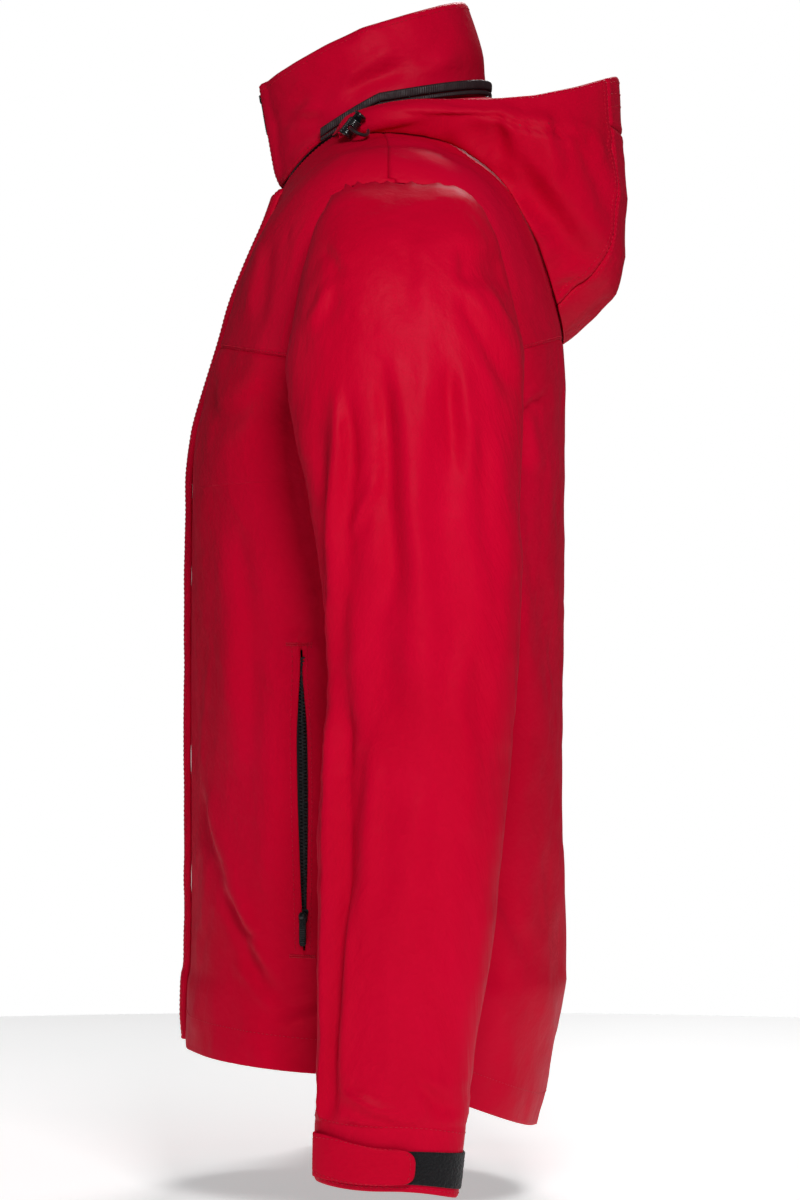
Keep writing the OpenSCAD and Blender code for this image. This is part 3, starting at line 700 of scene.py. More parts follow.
def hood_cord(side, name, cad):
    route = np.array(CORD_ROUTE) * MM * (side, 1, 1)
    path = []
    for k in range(len(route) - 1):
        p0, p1, p2, p3 = (route[min(max(k + j, 0), len(route) - 1)] for j in (-1, 0, 1, 2))
        for t in np.linspace(0, 1, 5)[:-1]:
            path.append(0.5 * (2 * p1 + (p2 - p0) * t + (2 * p0 - 5 * p1 + 4 * p2 - p3) * t * t
                               + (3 * p1 - p0 - 3 * p2 + p3) * t ** 3))
    path.append(route[-1])
    path = np.array(path)
    piece = tube(name, path, CORD_D / 2, CORD, 14)
    finish_piece(piece, "shell", [cad])


hood_cord(1, "cord_left", "left_hood_cord")
hood_cord(-1, "cord_right", "right_hood_cord")


# ---- Body ----------------------------------------------------------------------
# The armhole in the side view: its middle's y in metres, and its z and half height in millimetres
ARM_Y, ARM_Z, ARM_REACH = 0.015, -119, 107
# Rows of the body's surface: shoulder tip, yoke seam, armpit, hem
S_TIP, S_YOKE, S_ARMPIT, S_HEM = 2, 3, 4.7, 9
ZIP_X = 0.011
POCKET_ROW, POCKET_ANGLE = 6.5, 74


def armhole_y(z, direction):
    """The side-view line of the armhole at a height in millimetres: in front for -1, behind for 1."""
    edge = ring_point(SLEEVE, np.zeros(400), np.linspace(0, 90, 400))
    away = np.interp(np.abs(z - ARM_Z), (edge[:, 2] - ARM_Z * MM) / MM, ARM_Y - edge[:, 1])
    return ARM_Y + direction * np.where(np.abs(z - ARM_Z) < ARM_REACH, away, 0)


def side_edge(s, direction):
    s = np.asarray(s, float)
    edge = angle_of_y(BODY, s, armhole_y(rings_at(BODY, s)[..., 5], direction))
    return np.where((s <= S_TIP) | (s >= S_ARMPIT), 90.0, edge)


def turn_round_armhole(points):
    return np.arctan2(points[:, 2] - ARM_Z * MM, points[:, 1] - ARM_Y)


def armhole_loop():
    """The edge that the body's panels leave for the left sleeve, ordered round its middle."""
    s = np.linspace(S_TIP, S_ARMPIT, 2600)
    s = s[np.abs(rings_at(BODY, s)[:, 5] - ARM_Z) < ARM_REACH]
    loop = np.concatenate([ring_point(BODY, s, side_edge(s, direction)) for direction in (-1, 1)])
    turn = turn_round_armhole(loop)
    order = np.argsort(turn)
    return turn[order], loop[order]


LOOP_TURN, LOOP = armhole_loop()


def edge_fade(patch):
    """0 at the armhole and the neck seam, 1 well inside a panel."""
    y, z = patch.P[..., 1], patch.P[..., 2]
    d = np.full(y.shape, 1.0)
    for at in LOOP[::24]:
        d = np.minimum(d, np.hypot(y - at[1], z - at[2]))
    off = 1 - smooth(np.abs(patch.P[..., 0]), 0.12, 0.15)
    return np.maximum(smooth(d, 0.003, 0.028), off) * smooth(patch.S, 0.0, 0.35)


# Folds as (start, end, width, height): places are y and z in the side view, in millimetres
TORSO_FOLDS = [((-78, -150), (-48, -176), 6, -2.6), ((-33, -308), (-54, -350), 6, -3.2),
               ((-44, -322), (-60, -344), 5, 2.2), ((-131, -440), (-108, -520), 7, -2.4),
               ((-111, -508), (-72, -580), 7, -3.0), ((-96, -540), (-62, -566), 5, 2.0),
               ((-100, -560), (-66, -592), 5, 1.7), ((-74, -372), (-72, -520), 10, 1.5),
               ((-112, -250), (-98, -420), 13, 2.2), ((-60, -190), (-52, -280), 8, -2.0),
               ((-70, -600), (-20, -585), 5, 1.3), ((103, -172), (124, -156), 4, -2.2),
               ((103, -174), (106, -215), 6, -2.4), ((96, -240), (120, -420), 12, 1.8),
               ((62, -470), (100, -585), 10, 1.6), ((-79, -46), (-92, -110), 5, 1.4),
               ((-60, -38), (-66, -104), 5, -1.2)]


def torso_folds(P, S):
    x, y, z = P[..., 0], P[..., 1], P[..., 2]
    drawn = sum(stroke(y, z, *f) for f in TORSO_FOLDS) * smooth(np.abs(x), 0.055, 0.11)
    low = smooth(-z, 0.14, 0.34)
    big = 0.0040 * noise(x * 10 + 3, y * 10, z * 2.6) * (0.35 + 0.65 * low)
    slant = 0.0021 * folds((x - 0.4 * z) * 15, (y + 0.5 * z) * 15, z * 7 + 9)
    fine = 0.0007 * noise(x * 55, y * 55, z * 38 + 4) + 0.0006 * folds(x * 34, y * 34, z * 26 + 7)
    hem = 0.0013 * bell(S, 8.72, 0.2) * folds(x * 46, y * 46, z * 9 + 2)
    # a soft roll across the chest, just under the yoke
    height, front = z + 0.02 * noise(x * 20, y * 20), smooth(-y, 0.0, 0.09)
    chest = -0.0030 * bell(height, -0.163, 0.010) * front * smooth(np.abs(x), 0.06, 0.12)
    chest = chest + 0.0022 * bell(height, -0.145, 0.012) * front
    amount = big + slant + fine + hem + chest + drawn
    pocket = 1 - smooth(np.hypot(np.abs(x) - 0.1925, y + 0.0496), 0.018, 0.05)
    amount = amount * (1 - pocket * smooth(-z, 0.33, 0.36) * (1 - smooth(-z, 0.56, 0.59)))
    beside_arm = smooth(np.abs(x), 0.165, 0.19) * (1 - smooth(-z, 0.3, 0.42))
    amount = amount * (1 - 0.7 * beside_arm) - 0.0012 * beside_arm
    return amount * smooth(np.abs(x) + np.where(y > 0, 0.2, 0.0), 0.03, 0.075)


def body_patch(s, angles, side=1):
    patch = Patch(BODY, s, angles, side)
    return patch.push(torso_folds(patch.P, patch.S) * edge_fade(patch))


GAP = 0.0042
yoke_s = np.unique(np.concatenate([rows_evenly(BODY, 0, S_YOKE, GAP, 60, True, True),
                                   np.linspace(2.0, 2.16, 13)]))
lower_s = np.unique(np.concatenate([rows_evenly(BODY, S_YOKE, S_HEM, GAP, 60, True, True),
                                    np.linspace(4.5, 4.75, 13)]))


def front_columns():
    """Column shares with a narrow pair of columns on the pocket's line, and the number of the first."""
    a0 = float(angle_of_x(BODY, POCKET_ROW, ZIP_X))
    fine = np.linspace(a0, 90, 900)
    p = ring_point(BODY, np.full(900, POCKET_ROW), fine)
    run = arc(p)
    pocket = np.interp(POCKET_ANGLE, fine, run)
    left = spaced(pocket - 0.0005, GAP, True, True)
    right = pocket + 0.0005 + spaced(run[-1] - pocket - 0.0005, GAP, True, True)
    stops = np.concatenate([left, right])
    return (np.interp(stops, run, fine) - a0) / (90 - a0), len(left) - 1


def beside_armhole(s, angles, direction):
    """Column angles per row: only those near the armhole's deepest reach give way to its edge."""
    start = angle_of_y(BODY, s, ARM_Y + direction * 0.081)[:, None]
    share = np.clip((angles - start) / (90.0 - start), 0, 1)
    return np.where(share > 0, start + (side_edge(s, direction)[:, None] - start) * share, angles)


FRONT_SHARES, POCKET_COLUMN = front_columns()
BACK_SHARES = np.concatenate([[0, 0.003, 0.007, 0.013, 0.022], np.linspace(0.032, 1, 78)]) ** 0.85
SLIT_TOP, SLIT_FOOT = 5.8, 7.0


def front_panel(side):
    word = WORD[side]
    first = angle_of_x(BODY, lower_s, ZIP_X)[:, None]
    angles = beside_armhole(lower_s, first + (90 - first) * FRONT_SHARES, -1)
    patch = body_patch(lower_s, angles, side)
    # the slit: its two lips part, the front one lies a little proud of the zip
    v = (patch.S - SLIT_TOP) / (SLIT_FOOT - SLIT_TOP)
    open_w = smooth(v, 0.06, 0.36) * (1 - smooth(v, 0.42, 1.0)) ** 0.8 * 0.0034
    a = patch.from_first[:, POCKET_COLUMN:POCKET_COLUMN + 2].mean(1, keepdims=True)
    d = patch.from_first - a
    along = unit(np.gradient(patch.P, axis=1), 1e-9)
    patch.P = patch.P + along * (np.sign(d) * open_w * np.exp(-np.abs(d) / 0.012))[..., None]
    near = np.exp(-np.abs(d) / 0.006)
    welt = smooth(v, -0.06, 0.01) * (1 - smooth(v, 0.99, 1.05))
    patch.push(welt * np.where(d < 0, 0.0016, 0.0005) * near - 0.0018 * welt * np.exp(-np.abs(d) / 0.0012))
    patch.push(0.0022 * bell(v, -0.03, 0.02) * bell(d, -0.005, 0.008)
               - 0.0014 * bell(v, -0.075, 0.02) * bell(d, 0.0, 0.012))
    patch.seam(top=True, last=True, depth=0.0009)
    keep = np.ones((patch.P.shape[0] - 1, patch.P.shape[1] - 1), bool)
    inside_slit = (lower_s[:-1] > SLIT_TOP) & (lower_s[1:] < SLIT_FOOT)
    keep[inside_slit, POCKET_COLUMN] = False
    base = cloth("panel", patch, keep=keep)
    parts = [base, patch_stitches(patch, "foot", 0.024)]
    rows = np.where((v[:, 0] > -0.02) & (v[:, 0] < 1.02))[0]
    for offset in (-0.0062, 0.0045):
        line, norm = (np.array([sampled(offset, d[j], grid[j]) for j in rows])
                      for grid in (patch.P, patch.N))
        parts.append(stitch_line(line, norm))
    # a double bar across each end of the slit
    for share in (-0.012, 1.012):
        j = int(np.argmin(np.abs(v[:, 0] - share)))
        line, norm = (sampled(np.linspace(-0.011, 0.008, 16), d[j], grid[j]) for grid in (patch.P, patch.N))
        for lift in (-0.0007, 0.0007):
            parts.append(stitch_line(line + (0, 0, lift), norm, pitch=0.0013, length=0.0016, width=0.0009))
    obj = finish_piece(joined("cloth_front_" + word, parts), "shell",
                       [word + "_front_panel"])


def front_yoke(side):
    word = WORD[side]
    first = angle_of_x(BODY, yoke_s, ZIP_X)[:, None]
    angles = beside_armhole(yoke_s, first + (90 - first) * FRONT_SHARES, -1)
    patch = body_patch(yoke_s, angles, side)
    patch.seam(top=True, foot=True, depth=0.0009)
    patch.seam(last=True, depth=0.0006)
    parts = [cloth("yoke", patch), patch_stitches(patch, "foot", 0.0022),
             patch_stitches(patch, "top", 0.003)]
    obj = finish_piece(joined("cloth_yoke_front_" + word, parts), "shell",
                       [word + "_front_yoke"])


def back_piece(name, s, nodes, **seams):
    half = beside_armhole(s, np.broadcast_to(90 + 90 * BACK_SHARES, (len(s), len(BACK_SHARES))), 1)
    patch = body_patch(s, np.concatenate([half, 360 - half[:, -2::-1]], 1))
    patch.seam(**seams, depth=0.0005)
    parts = [cloth("back", patch), patch_stitches(patch, "foot", 0.0022 if "foot" in seams else 0.024)]
    obj = finish_piece(joined(name, parts), "shell", nodes)


for side in (1, -1):
    front_yoke(side)
    front_panel(side)
back_piece("cloth_yoke_back", yoke_s, ["back_yoke"], top=True, foot=True, first=True, last=True)
back_piece("cloth_back", lower_s, ["back_panel"], top=True, first=True, last=True)

facing_s = np.linspace(8.45, 8.985, 9)
facing_a = angle_of_x(BODY, facing_s, 0.027)
facing = EvenPatch(BODY, facing_s, facing_a, 360 - facing_a, 0.006, -0.0021)
facing.push(torso_folds(facing.P, facing.S))
finish_piece(cloth("cloth_hem_facing", facing, RED_INSIDE, 0.0008), "shell", ["hem_facing"])

lining_s = rows_evenly(BODY, 0.5, 8.3, 0.009, 60)


def lining_part(first, last, off, side=1):
    lining = EvenPatch(BODY, lining_s, first, last, 0.009, off, (False, False), side)
    lining.push(torso_folds(lining.P, lining.S) * 0.9)
    return cloth("lining", lining, MESH, 0.0006, inside=MESH)


edge = side_edge(lining_s, 1) + 2
a0, a1 = angle_of_x(BODY, lining_s, 0.04), side_edge(lining_s, -1)
lining_parts = [lining_part(edge, 360 - edge, -0.005)]
lining_parts += [lining_part(a0, a0 + (a1 - a0) * 0.975, -0.0162, side) for side in (1, -1)]
finish_piece(joined("lining_body", lining_parts), "shell", ["body_lining"])

for side in (1, -1):
    word = WORD[side]
    bag_s = np.linspace(5.5, 7.6, 48)
    bag = EvenPatch(BODY, bag_s, 24.0, 66.0, 0.008, -0.0121, (False, False), side)
    bag.push(torso_folds(bag.P, bag.S) * 0.9 + 0.0008 * noise(bag.P[..., 0] * 60, bag.P[..., 2] * 60))
    parts = [cloth("bag", bag, MESH, 0.0007, inside=MESH)]
    finish_piece(joined("pocket_bag_" + word, parts), "shell", [word + "_pocket_bag"])


# ---- Sleeves -------------------------------------------------------------------
SLEEVE_FOLDS = [((62, -98), (99, -170), 8, -2.4), ((78, -92), (104, -140), 6, 1.6),
                ((52, -146), (57, -225), 7, -3.0), ((74, -190), (82, -300), 9, -1.8),
                ((8, -146), (14, -300), 9, -3.6), ((17, -270), (6, -400), 15, -2.6),
                ((-21, -162), (-24, -300), 6, 3.4), ((-23, -280), (-31, -430), 6, 3.2),
                ((-34, -172), (-34, -400), 9, -3.2), ((3, -222), (-16, -262), 4, 1.4),
                ((-10, -400), (-23, -530), 9, -3.0), ((-20, -500), (-31, -640), 6, -3.4),
                ((34, -130), (38, -420), 15, 2.2), ((30, -420), (20, -560), 14, 1.8),
                ((60, -330), (66, -470), 12, 1.8), ((-20, -636), (18, -650), 4.5, 1.6),
                ((-16, -652), (14, -662), 3.5, 1.3), ((30, -628), (56, -652), 6, -1.5),
                ((-30, -90), (-46, -122), 6, 1.6), ((-36, -62), (-20, -84), 5, -1.3),
                ((20, -60), (28, -118), 10, -1.4)]


def sleeve_folds(P, N, S, A):
    """Folds of a sleeve that hangs from a gathered head, pressed along its front."""
    x, y, z = P[..., 0], P[..., 1], P[..., 2]
    out = smooth(N[..., 0] * np.sign(x), -0.1, 0.45)
    t = -z
    drawn = sum(stroke(y, z, *f) for f in SLEEVE_FOLDS) * out
    # gathers under the sleeve head
    head = smooth(S, 0.02, 0.14) * np.exp(-np.clip(S - 0.15, 0, None) / 0.33)
    turn = y / 0.0098 + 0.9 * noise(y * 40, 0.3)
    high = smooth(z, -0.085, -0.035)
    gathers = 0.0032 * head * high * np.sin(2 * math.pi * turn) * (0.6 + 0.4 * noise(y * 55, 2.0))
    puff = 0.0022 * bell(S, 0.75, 0.5) * smooth(A, -10, 40) * (1 - smooth(A, 150, 200))
    # pressed crease down the front edge, with a hollow just behind it
    along = smooth(t, 0.34, 0.44) * (1 - smooth(t, 0.640, 0.666))
    crease = 0.0046 * along * bell(A, 25 + 3 * noise(z * 9, 0.5), 4.5)
    hollow = -0.0066 * along * bell(A, 41 + 3 * noise(z * 8, 1.5), 7.5) * (1 - 0.5 * smooth(t, 0.46, 0.62))
    # dent at the back of the upper arm
    at = (t - 0.077 - 0.12 * (y - 0.075)) / 0.0125
    dent = -0.0058 * np.exp(-at ** 4) * smooth(y, 0.054, 0.064) * (1 - smooth(y, 0.098, 0.106)) * out
    general = 0.0023 * noise(x * 12, y * 14, z * 4.2 + 1) + 0.0015 * folds(x * 24, y * 26, z * 11)
    general = general + 0.0006 * noise(x * 70, y * 70, z * 40) + 0.0007 * folds(x * 38, y * 38, z * 30)
    front = 0.3 + 0.7 * smooth(-N[..., 1], -0.6, 0.6)
    elbow = 0.0022 * bell(t, 0.40, 0.12) * folds(x * 10, y * 16 + z * 22, z * 30) * front
    cuffs = 0.0020 * bell(t, 0.640, 0.016) * folds(y * 42 + 3, z * 50, x * 12) * smooth(S, 8.8, 9.4)
    calm = smooth(S, 0.05, 0.35) * (1 - smooth(S, 9.85, 10.05))
    return gathers + (puff + drawn + crease + hollow + dent + elbow + cuffs + general) * calm


def meet_body(patch):
    """Draws a sleeve's first rows in to the body's armhole edge, so the seam is closed."""
    first = ring_point(SLEEVE, np.zeros(patch.A.shape[1]), patch.A[0])
    turn = turn_round_armhole(first)
    goal = sampled(turn, LOOP_TURN, LOOP, period=2 * math.pi)
    shift = (goal - first) * (patch.side, 1, 1)
    patch.P = patch.P + shift[None] * (1 - smooth(patch.S, 0.0, 0.36))[..., None]


sleeve_s = np.unique(np.concatenate([rows_evenly(SLEEVE, 0, 10, 0.0034, 90, True, True),
                                     rows_evenly(SLEEVE, 10, 11, 0.0034, 90, True, True)]))
arm_bend = {1: ("shell", "left_sleeve", (0.2065, 0.0238, -0.10), (0.2265, 0.0238, -0.28)),
            -1: ("shell", "right_sleeve", (-0.2065, 0.0238, -0.10), (-0.2265, 0.0238, -0.28))}


def sleeve_piece(side, name, first, last, cad, stitched):
    patch = EvenPatch(SLEEVE, sleeve_s, first, last, 0.0030, side=side)
    patch.push(sleeve_folds(patch.P, patch.N, patch.S, patch.A))
    meet_body(patch)
    patch.seam(top=True, first=True, last=True)
    patch.push(-0.0012 * bell(patch.from_foot, 0, 0.0012))
    patch.push(-0.0003 * bell(patch.S, 10.0, 0.03))
    parts = [cloth("sleeve", patch), patch_stitches(patch, "foot", 0.0032),
             patch_stitches(patch, "foot", 0.044)]
    if stitched:
        parts.append(patch_stitches(patch, "last", 0.0024, end=0.98))
    obj = finish_piece(joined(name, parts), "", [cad], arm_bend[side])


for side in (1, -1):
    word = WORD[side]
    sleeve_piece(side, "cloth_sleeve_" + word, -38, 208, word + "_sleeve", True)
    sleeve_piece(side, "cloth_under_sleeve_" + word, 208, 322, word + "_under_sleeve", False)
    s = np.linspace(10.02, 10.985, 12)
    ring = EvenPatch(SLEEVE, s, 0.0, 360.0, 0.006, -0.0021, (False, False), side)
    facing = joined("cloth_cuff_facing_" + word, [cloth("facing", ring, RED_INSIDE, 0.0008)])
    finish_piece(facing, word + "_sleeve", [word + "_cuff_facing"])


# ---- Collar --------------------------------------------------------------------
COLLAR_FOLDS = [((-22, 62), (26, 86), 8, -2.8), ((-80, 44), (-36, 47), 5, -2.0),
                ((-76, 31), (-40, 60), 6, 1.8), ((-30, 92), (10, 110), 9, 1.6),
                ((30, 78), (62, 96), 8, 1.8), ((-66, 18), (-30, 34), 5, 1.2)]


def collar_folds(P, S):
    x, y, z = P[..., 0], P[..., 1], P[..., 2]
    soft = 0.0020 * noise(x * 17, y * 19, z * 7) + 0.0013 * folds((y + 0.6 * z) * 26, z * 14, x * 20)
    soft = soft + sum(stroke(y, z, *f) for f in COLLAR_FOLDS) * smooth(np.abs(x), 0.03, 0.06)
    sag = -0.0016 * bell(S, 1.55 + 0.4 * noise(y * 9, x * 9), 0.35)
    fine = 0.0004 * noise(x * 60, y * 60, z * 60)
    calm = smooth(S, 0.05, 0.5) * smooth(np.abs(x) + np.where(y > 0, 0.1, 0), 0.012, 0.03)
    return (soft + sag + fine) * calm


collar_s = rows_evenly(COLLAR, 0.02, 3, 0.0036, 60, True, True)[::-1]
collar_a = angle_of_x(COLLAR, collar_s, ZIP_X)
collar = EvenPatch(COLLAR, collar_s, collar_a, 360 - collar_a, 0.0036)
collar.N = -collar.N
collar.push(collar_folds(collar.P, collar.S))
collar.seam(foot=True)
edge_d = np.minimum(collar.from_first, collar.from_last)
collar.push((0.0031 * (1 - smooth(edge_d, 0.0085, 0.0135))
             - 0.0026 * bell(edge_d, 0, 0.0012)) * smooth(collar.from_foot, 0, 0.012))
collar.push(-0.0012 * bell(collar.from_top, 0, 0.0011))
collar_parts = [cloth("collar", collar, thick=0.0018), patch_stitches(collar, "top", 0.0045),
                patch_stitches(collar, "foot", 0.003), patch_stitches(collar, "first", 0.0035),
                patch_stitches(collar, "last", 0.0035)]
collar_piece = finish_piece(joined("cloth_collar", collar_parts), "shell", ["collar_shell"])

s = np.linspace(2.93, 0.05, 28)
a = angle_of_x(COLLAR, s, 0.026)
lining = EvenPatch(COLLAR, s, a, 360 - a, 0.006, 0, (False, False))
lining.N = -lining.N
lining.push(collar_folds(lining.P, lining.S) - 0.0025)
finish_piece(cloth("lining_collar", lining, MESH, 0.0010, inside=MESH), "shell",
             ["collar_lining"])

s = np.linspace(2.96, 2.1, 14)
guard = EvenPatch(COLLAR, s, angle_of_x(COLLAR, s, 0.008), angle_of_x(COLLAR, s, 0.034), 0.003, 0,
                  (False, False))
guard.N = -guard.N
guard.push(-0.0050)
finish_piece(cloth("cloth_chin_guard", guard, MESH, 0.0011, inside=MESH), "shell",
             ["chin_guard"])


# ---- Strips down the front -----------------------------------------------------
def front_line(s):
    s = np.asarray(s, float)
    up = rings_at(COLLAR, np.clip(3 - s, 0, 3))[..., :2]
    down = rings_at(BODY, np.clip(s - 3, 0, 9))[..., :2]
    return np.where((s < 3)[..., None], up, down)


def strip_frame(s):
    s = np.asarray(s, float)
    here = front_line(s)
    d = unit(front_line(np.minimum(s + 0.05, 12)) - front_line(np.maximum(s - 0.05, 0)))
    zero = np.zeros(s.shape)
    point = np.stack([zero, here[..., 0], here[..., 1]], -1) * MM
    out = np.stack([zero, d[..., 1], -d[..., 0]], -1)
    down = np.stack([zero, d[..., 0], d[..., 1]], -1)
    return point, out, down


def strip_rows(start, end, gap):
    fine = np.linspace(start, end, 900)
    run = arc(strip_frame(fine)[0])
    return np.interp(np.linspace(0, run[-1], max(3, int(run[-1] / gap))), run, fine)


class Strip:
    """A grid down the front: columns from x0 to x1, at an offset that may vary."""
    side = 1

    def __init__(self, s, xs, off):
        p, n, _ = strip_frame(s)
        S, X = np.meshgrid(s, np.abs(xs), indexing="ij")
        up, down = np.clip(3 - S, 0, 3), np.clip(S - 3, 0, 9)
        on_collar = ring_point(COLLAR, up, angle_of_x(COLLAR, up, X))
        on_body = ring_point(BODY, down, angle_of_x(BODY, down, X))
        on_skin = np.where((S < 3)[..., None], on_collar, on_body)
        on_skin[..., 0] = xs[None]
        rows, cols = len(s), len(xs)
        self.X = np.broadcast_to(xs[None], (rows, cols))
        self.N = np.broadcast_to(n[:, None], (rows, cols, 3)).copy()
        off = np.broadcast_to(np.asarray(off, float), (rows, cols))
        self.P = on_skin + self.N * off[..., None]
        self.V = np.broadcast_to(arc(p)[:, None], (rows, cols))
        self.U = self.X
        self.from_first, self.from_last = np.abs(self.X - xs[0]), np.abs(self.X - xs[-1])
        self.from_top, self.from_foot = self.V, self.V[-1:] - self.V
        if xs[-1] < xs[0]:
            self.side = -1

    def push(self, amount):
        self.P = self.P + self.N * np.asarray(amount)[..., None]
        return self


TAPE_EDGE = 0.025
zip_rows = strip_rows(0.04, 11.9, 0.006)


def box_cloud(name, places, axes, size, chamfer, mat):
    """Many small chamfered boxes as one mesh; axes[i] are the three directions of box i."""
    bm = bmesh.new()
    bmesh.ops.create_cube(bm, size=1.0)
    bmesh.ops.scale(bm, vec=size, verts=bm.verts)
    bmesh.ops.bevel(bm, geom=list(bm.edges), offset=chamfer, segments=1, affect="EDGES")
    base = np.array([v.co[:] for v in bm.verts])
    shape = [[v.index for v in f.verts] for f in bm.faces]
    bm.free()
    pts, faces = [], []
    for k, (p, ax) in enumerate(zip(places, axes)):
        pts.append(p + base @ np.asarray(ax))
        faces += [tuple(k * len(base) + i for i in f) for f in shape]
    pts = np.concatenate(pts)
    return mesh_object(name, pts, faces, pts[:, :2], mat, smooth_shade=False)


def teeth(points, across, out, down, side, pitch=0.0027, size=(0.0036, 0.0026, 0.0015)):
    """Moulded teeth beside a line; the two sides are half a pitch apart."""
    run = arc(points)
    at = np.arange(pitch * (0.5 if side > 0 else 1.0), run[-1] - pitch * 0.3, pitch)
    p, a, o, d = (sampled(at, run, v) for v in (points, across, out, down))
    places = p + a * (side * 0.0009)
    return box_cloud("teeth", places, list(zip(a, o, d)), size, 0.00035, TEETH)


p, n, d = strip_frame(zip_rows)
for side in (1, -1):
    word = WORD[side]
    xs = np.array([0.0016, 0.003, 0.0045, 0.009, 0.014, 0.019, 0.0236, TAPE_EDGE]) * side
    off = np.array([-0.0024, -0.0027, -0.0030, -0.0031, -0.0031, -0.0031, -0.0031, -0.0034])[None]
    tape = Strip(zip_rows, xs, off)
    bead = tube("bead", p + n * -0.0022 + np.array([side * 0.0029, 0, 0]), 0.0009, TAPE, 8)
    across = np.broadcast_to(np.array([1.0, 0, 0]), p.shape)
    row = teeth(p + n * -0.0021, across, n, d, side)
    half = joined("zip_front_" + word, [cloth("tape", tape, TAPE, 0.0007, inside=TAPE), bead, row])
    finish_piece(half, "shell", [f"front_zip_{word}_half"])

p1, n1, d1 = strip_frame(np.array([11.9]))
foot = p1[0] + n1[0] * -0.002
stop_axes = [(np.array([1.0, 0, 0]), n1[0], d1[0])]
box_part = box_cloud("box", [foot - d1[0] * 0.0048], stop_axes, (0.0078, 0.0034, 0.0076), 0.0007, TEETH)
pin_part = box_cloud("pin", [foot - d1[0] * 0.0042 + n1[0] * 0.0016], stop_axes, (0.0022, 0.0008, 0.0070),
                     0.0003, ENAMEL)
ribs = [foot - d1[0] * (0.0024 + 0.0014 * k) + n1[0] * 0.0016 for k in range(4)]
rib_part = box_cloud("ribs", ribs, stop_axes * 4, (0.0062, 0.0006, 0.0006), 0.0002, TEETH)
finish_piece(joined("zip_front_stop", [box_part, pin_part, rib_part]), "shell",
             ["front_zip_stops"])

inner = Strip(strip_rows(0.06, 11.88, 0.006), np.linspace(-0.024, 0.020, 12), -0.0078)
inner.push(0.0005 * noise(inner.X * 60, inner.V * 30))
finish_piece(cloth("cloth_inner_flap", inner, RED_INSIDE, 0.0010), "shell", ["inner_flap"])

# the storm flap is one piece of cloth from the collar to the hem
FLAP_ROOT, FLAP_FREE = 0.033, -0.030
flap_s = strip_rows(3.25, 11.97, 0.0045)
flap_x = np.concatenate([FLAP_ROOT - np.array([0, 0.0014, 0.003, 0.005, 0.008]),
                         np.linspace(0.020, -0.024, 11), [-0.0265, -0.0285, FLAP_FREE]])
flap_off = np.interp(flap_x, [-0.030, -0.0285, -0.02, 0.0, 0.022, 0.029, 0.0316, 0.033],
                     [0.0045, 0.0053, 0.0056, 0.0062, 0.0056, 0.0050, 0.0029, 0.0006])
flap = Strip(flap_s, flap_x, flap_off[None])
wave = smooth(-flap.X, -0.02, 0.03)
flap.push(-0.0007 * wave * (1 - folds(flap.V * 17, flap.X * 6)) + 0.0004 * noise(flap.V * 45, flap.X * 50))
top_tuck = bell(flap.from_top, 0, 0.002)
flap.push(-0.0022 * top_tuck - 0.0022 * bell(flap.from_foot, 0, 0.014))
flap_parts = [cloth("flap", flap, thick=0.0014), patch_stitches(flap, "last", 0.0035),
              patch_stitches(flap, "last", 0.0095),
              patch_stitches(flap, "first", 0.0028), patch_stitches(flap, "first", 0.0085),
              patch_stitches(flap, "foot", 0.006),
              patch_stitches(flap, "top", 0.004)]
flap_bend = ("shell", "storm_flap", (0.033, -0.135, -0.180), (0.033, -0.139, -0.30))
flap_piece = finish_piece(joined("cloth_storm_flap", flap_parts), "",
                          ["storm_flap_top", "storm_flap"], flap_bend)


def pile_patch(s, xs, off, pile, thick):
    patch = Strip(s, xs, off)
    rim = smooth(np.minimum(patch.from_first, patch.from_last), 0, 0.001)
    patch.push(pile * noise(patch.X * 900, patch.V * 900) * rim)
    return cloth("pile", patch, PILE, thick, inside=PILE)


def closed_patches(x0, x1, off, pile, thick):
    rows = [strip_rows(7.3 + 1.2 * k, 7.6 + 1.2 * k, 0.0013) for k in range(4)]
    return [pile_patch(s, np.linspace(x0, x1, 12), off, pile, thick) for s in rows]


loops = joined("loop_patches_front", closed_patches(-0.027, -0.014, 0.0016, 0.00025, 0.0009))
finish_piece(loops, "shell", ["flap_loop_patches"])
hooks = joined("hook_patches_flap", closed_patches(-0.026, -0.015, 0.0034, 0.0002, 0.0008))
finish_piece(hooks, "", ["flap_hook_patches"], flap_bend)


# ---- Hood ----------------------------------------------------------------------
HOOD_FROM, CENTRE_FROM = 58, 152


HOOD_FOLDS = [((50, 38), (113, -20), 7, -2.8), ((46, 27), (103, -30), 5, 2.0),
              ((103, 14), (156, -62), 9, -2.8), ((86, 44), (98, 6), 6, -1.8),
              ((136, -72), (172, -86), 9, -2.4), ((120, 46), (132, -8), 8, 1.8),
              ((146, 30), (170, -30), 8, -2.0), ((70, 22), (128, -48), 8, 2.4)]


